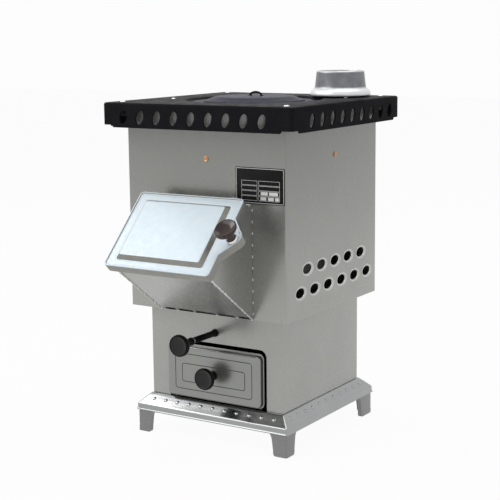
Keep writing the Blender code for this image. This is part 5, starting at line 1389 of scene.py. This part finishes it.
@dataclass
class Studio:
    """The camera, the lamps, the floor and the world, with places in metres except the camera's."""

    LAMPS = (("key", (-2.2, -3.4, 3.2), (0, 0, 0.35), 2.6, 46),
             ("sky", (-2.95, -1.4, 2.75), (0, 0, 0.3), 1.4, 30),
             ("fill", (3.4, -2.2, 1.9), (0, 0, 0.3), 2.4, 3),
             ("top", (0.2, 0.6, 3.6), (0, 0, 0.4), 2.6, 40))
    shift: Vector
    place: Triple = (1441.45, -2282.29, 847.33)
    yaw: float = 32.536
    pitch: float = 9.857
    roll: float = -0.602
    lens: float = 92.448
    film: float = 36.0
    floor_reach: float = 12.0
    floor_grey: float = 0.82
    floor_glow: float = 0.95
    world_light: float = 0.42
    world_seen: float = 0.98

    def build(self) -> None:
        """Set everything up."""
        scene = bpy.context.scene
        scene.view_settings.view_transform = "Standard"
        self.camera()
        self.floor()
        self.world()
        for name, place, target, size, power in self.LAMPS:
            self.lamp(name, place, target, size, power)

    def camera(self) -> None:
        """The camera at the photograph's place."""
        yaw, pitch, roll = (math.radians(angle) for angle in (self.yaw, self.pitch, self.roll))
        ahead = Vector((-math.sin(yaw) * math.cos(pitch), math.cos(yaw) * math.cos(pitch), -math.sin(pitch)))
        right = Vector((math.cos(yaw), math.sin(yaw), 0))
        up = right.cross(ahead)
        across = right * math.cos(roll) + up * math.sin(roll)
        upwards = up * math.cos(roll) - right * math.sin(roll)
        data = bpy.data.cameras.new("camera")
        data.sensor_width = self.film
        data.lens = self.lens
        data.clip_start, data.clip_end = 0.05, 60
        made = linked("camera", data)
        turn = Matrix((across, upwards, -ahead)).transposed().to_4x4()
        made.matrix_world = Matrix.Translation(Vector(self.place) * MM + self.shift) @ turn
        bpy.context.scene.camera = made

    def lamp(self, name: str, place: Sequence[float], target: Sequence[float], size: float,
             power: float) -> None:
        """A soft square lamp.

        Args:
            name: the lamp's name.
            place: where it is.
            target: what it faces.
            size: its side.
            power: its power in watts.
        """
        data = bpy.data.lights.new(name, "AREA")
        data.shape = "SQUARE"
        data.size = size
        data.energy = power
        made = linked(name, data)
        made.location = place
        made.rotation_euler = (Vector(target) - Vector(place)).to_track_quat("-Z", "Y").to_euler()

    def floor(self) -> None:
        """A plain pale floor that stays white to the camera and keeps a faint shadow."""
        mesh = bmesh.new()
        bmesh.ops.create_grid(mesh, x_segments=1, y_segments=1, size=self.floor_reach)
        data = bpy.data.meshes.new("floor")
        mesh.to_mesh(data)
        mesh.free()
        material = bpy.data.materials.new("floor")
        material.use_nodes = True
        nodes, links = material.node_tree.nodes, material.node_tree.links
        nodes.clear()
        diffuse, glow, share, mix, output = (nodes.new("ShaderNode" + kind) for kind in (
            "BsdfDiffuse", "Emission", "Math", "MixShader", "OutputMaterial"))
        diffuse.inputs["Color"].default_value = (*[self.floor_grey] * 3, 1)
        share.operation = "MULTIPLY"
        share.inputs[1].default_value = self.floor_glow
        links.new(self.seen(material.node_tree), share.inputs[0])
        links.new(share.outputs["Value"], mix.inputs["Fac"])
        links.new(diffuse.outputs["BSDF"], mix.inputs[1])
        links.new(glow.outputs["Emission"], mix.inputs[2])
        links.new(mix.outputs["Shader"], output.inputs["Surface"])
        data.materials.append(material)
        linked("floor", data)

    def world(self) -> None:
        """A white world to the camera and in reflections, dimmer as light."""
        world = bpy.data.worlds.new("studio")
        bpy.context.scene.world = world
        world.use_nodes = True
        tree = world.node_tree
        level = fed(tree.nodes.new("ShaderNodeMapRange"), Value=self.seen(tree), To_Min=self.world_light,
                    To_Max=self.world_seen)
        fed(tree.nodes["Background"], Color=(1, 1, 1, 1), Strength=level.outputs["Result"])

    def seen(self, tree: NodeTree) -> NodeSocket:
        """A socket of a tree that is 1 for what the camera sees directly, reflected or through glass."""
        path = tree.nodes.new("ShaderNodeLightPath")
        either = path.outputs["Is Camera Ray"]
        for name in ("Is Glossy Ray", "Is Transmission Ray"):
            made = tree.nodes.new("ShaderNodeMath")
            made.operation = "MAXIMUM"
            tree.links.new(either, made.inputs[0])
            tree.links.new(path.outputs[name], made.inputs[1])
            either = made.outputs["Value"]
        return either


def main() -> None:
    """Load the frame, build every sub-assembly and the studio about the plate's middle."""
    logging.basicConfig(level=logging.INFO, format="%(name)s: %(message)s")
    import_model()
    low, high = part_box("top_plate")
    bench = Bench(Vector((0, (low.y + high.y) / 2, 0)))
    for part in (Plinth, AshCasing, MainCasing, HobPlate, Hob, Flue,
                 Hopper, HopperLid, Nameplate, Drawer, Shaker, Inside):
        part(bench).build()
    Studio(bench.shift).build()
    bpy.context.view_layer.update()


if __name__ == "__main__":
    main()
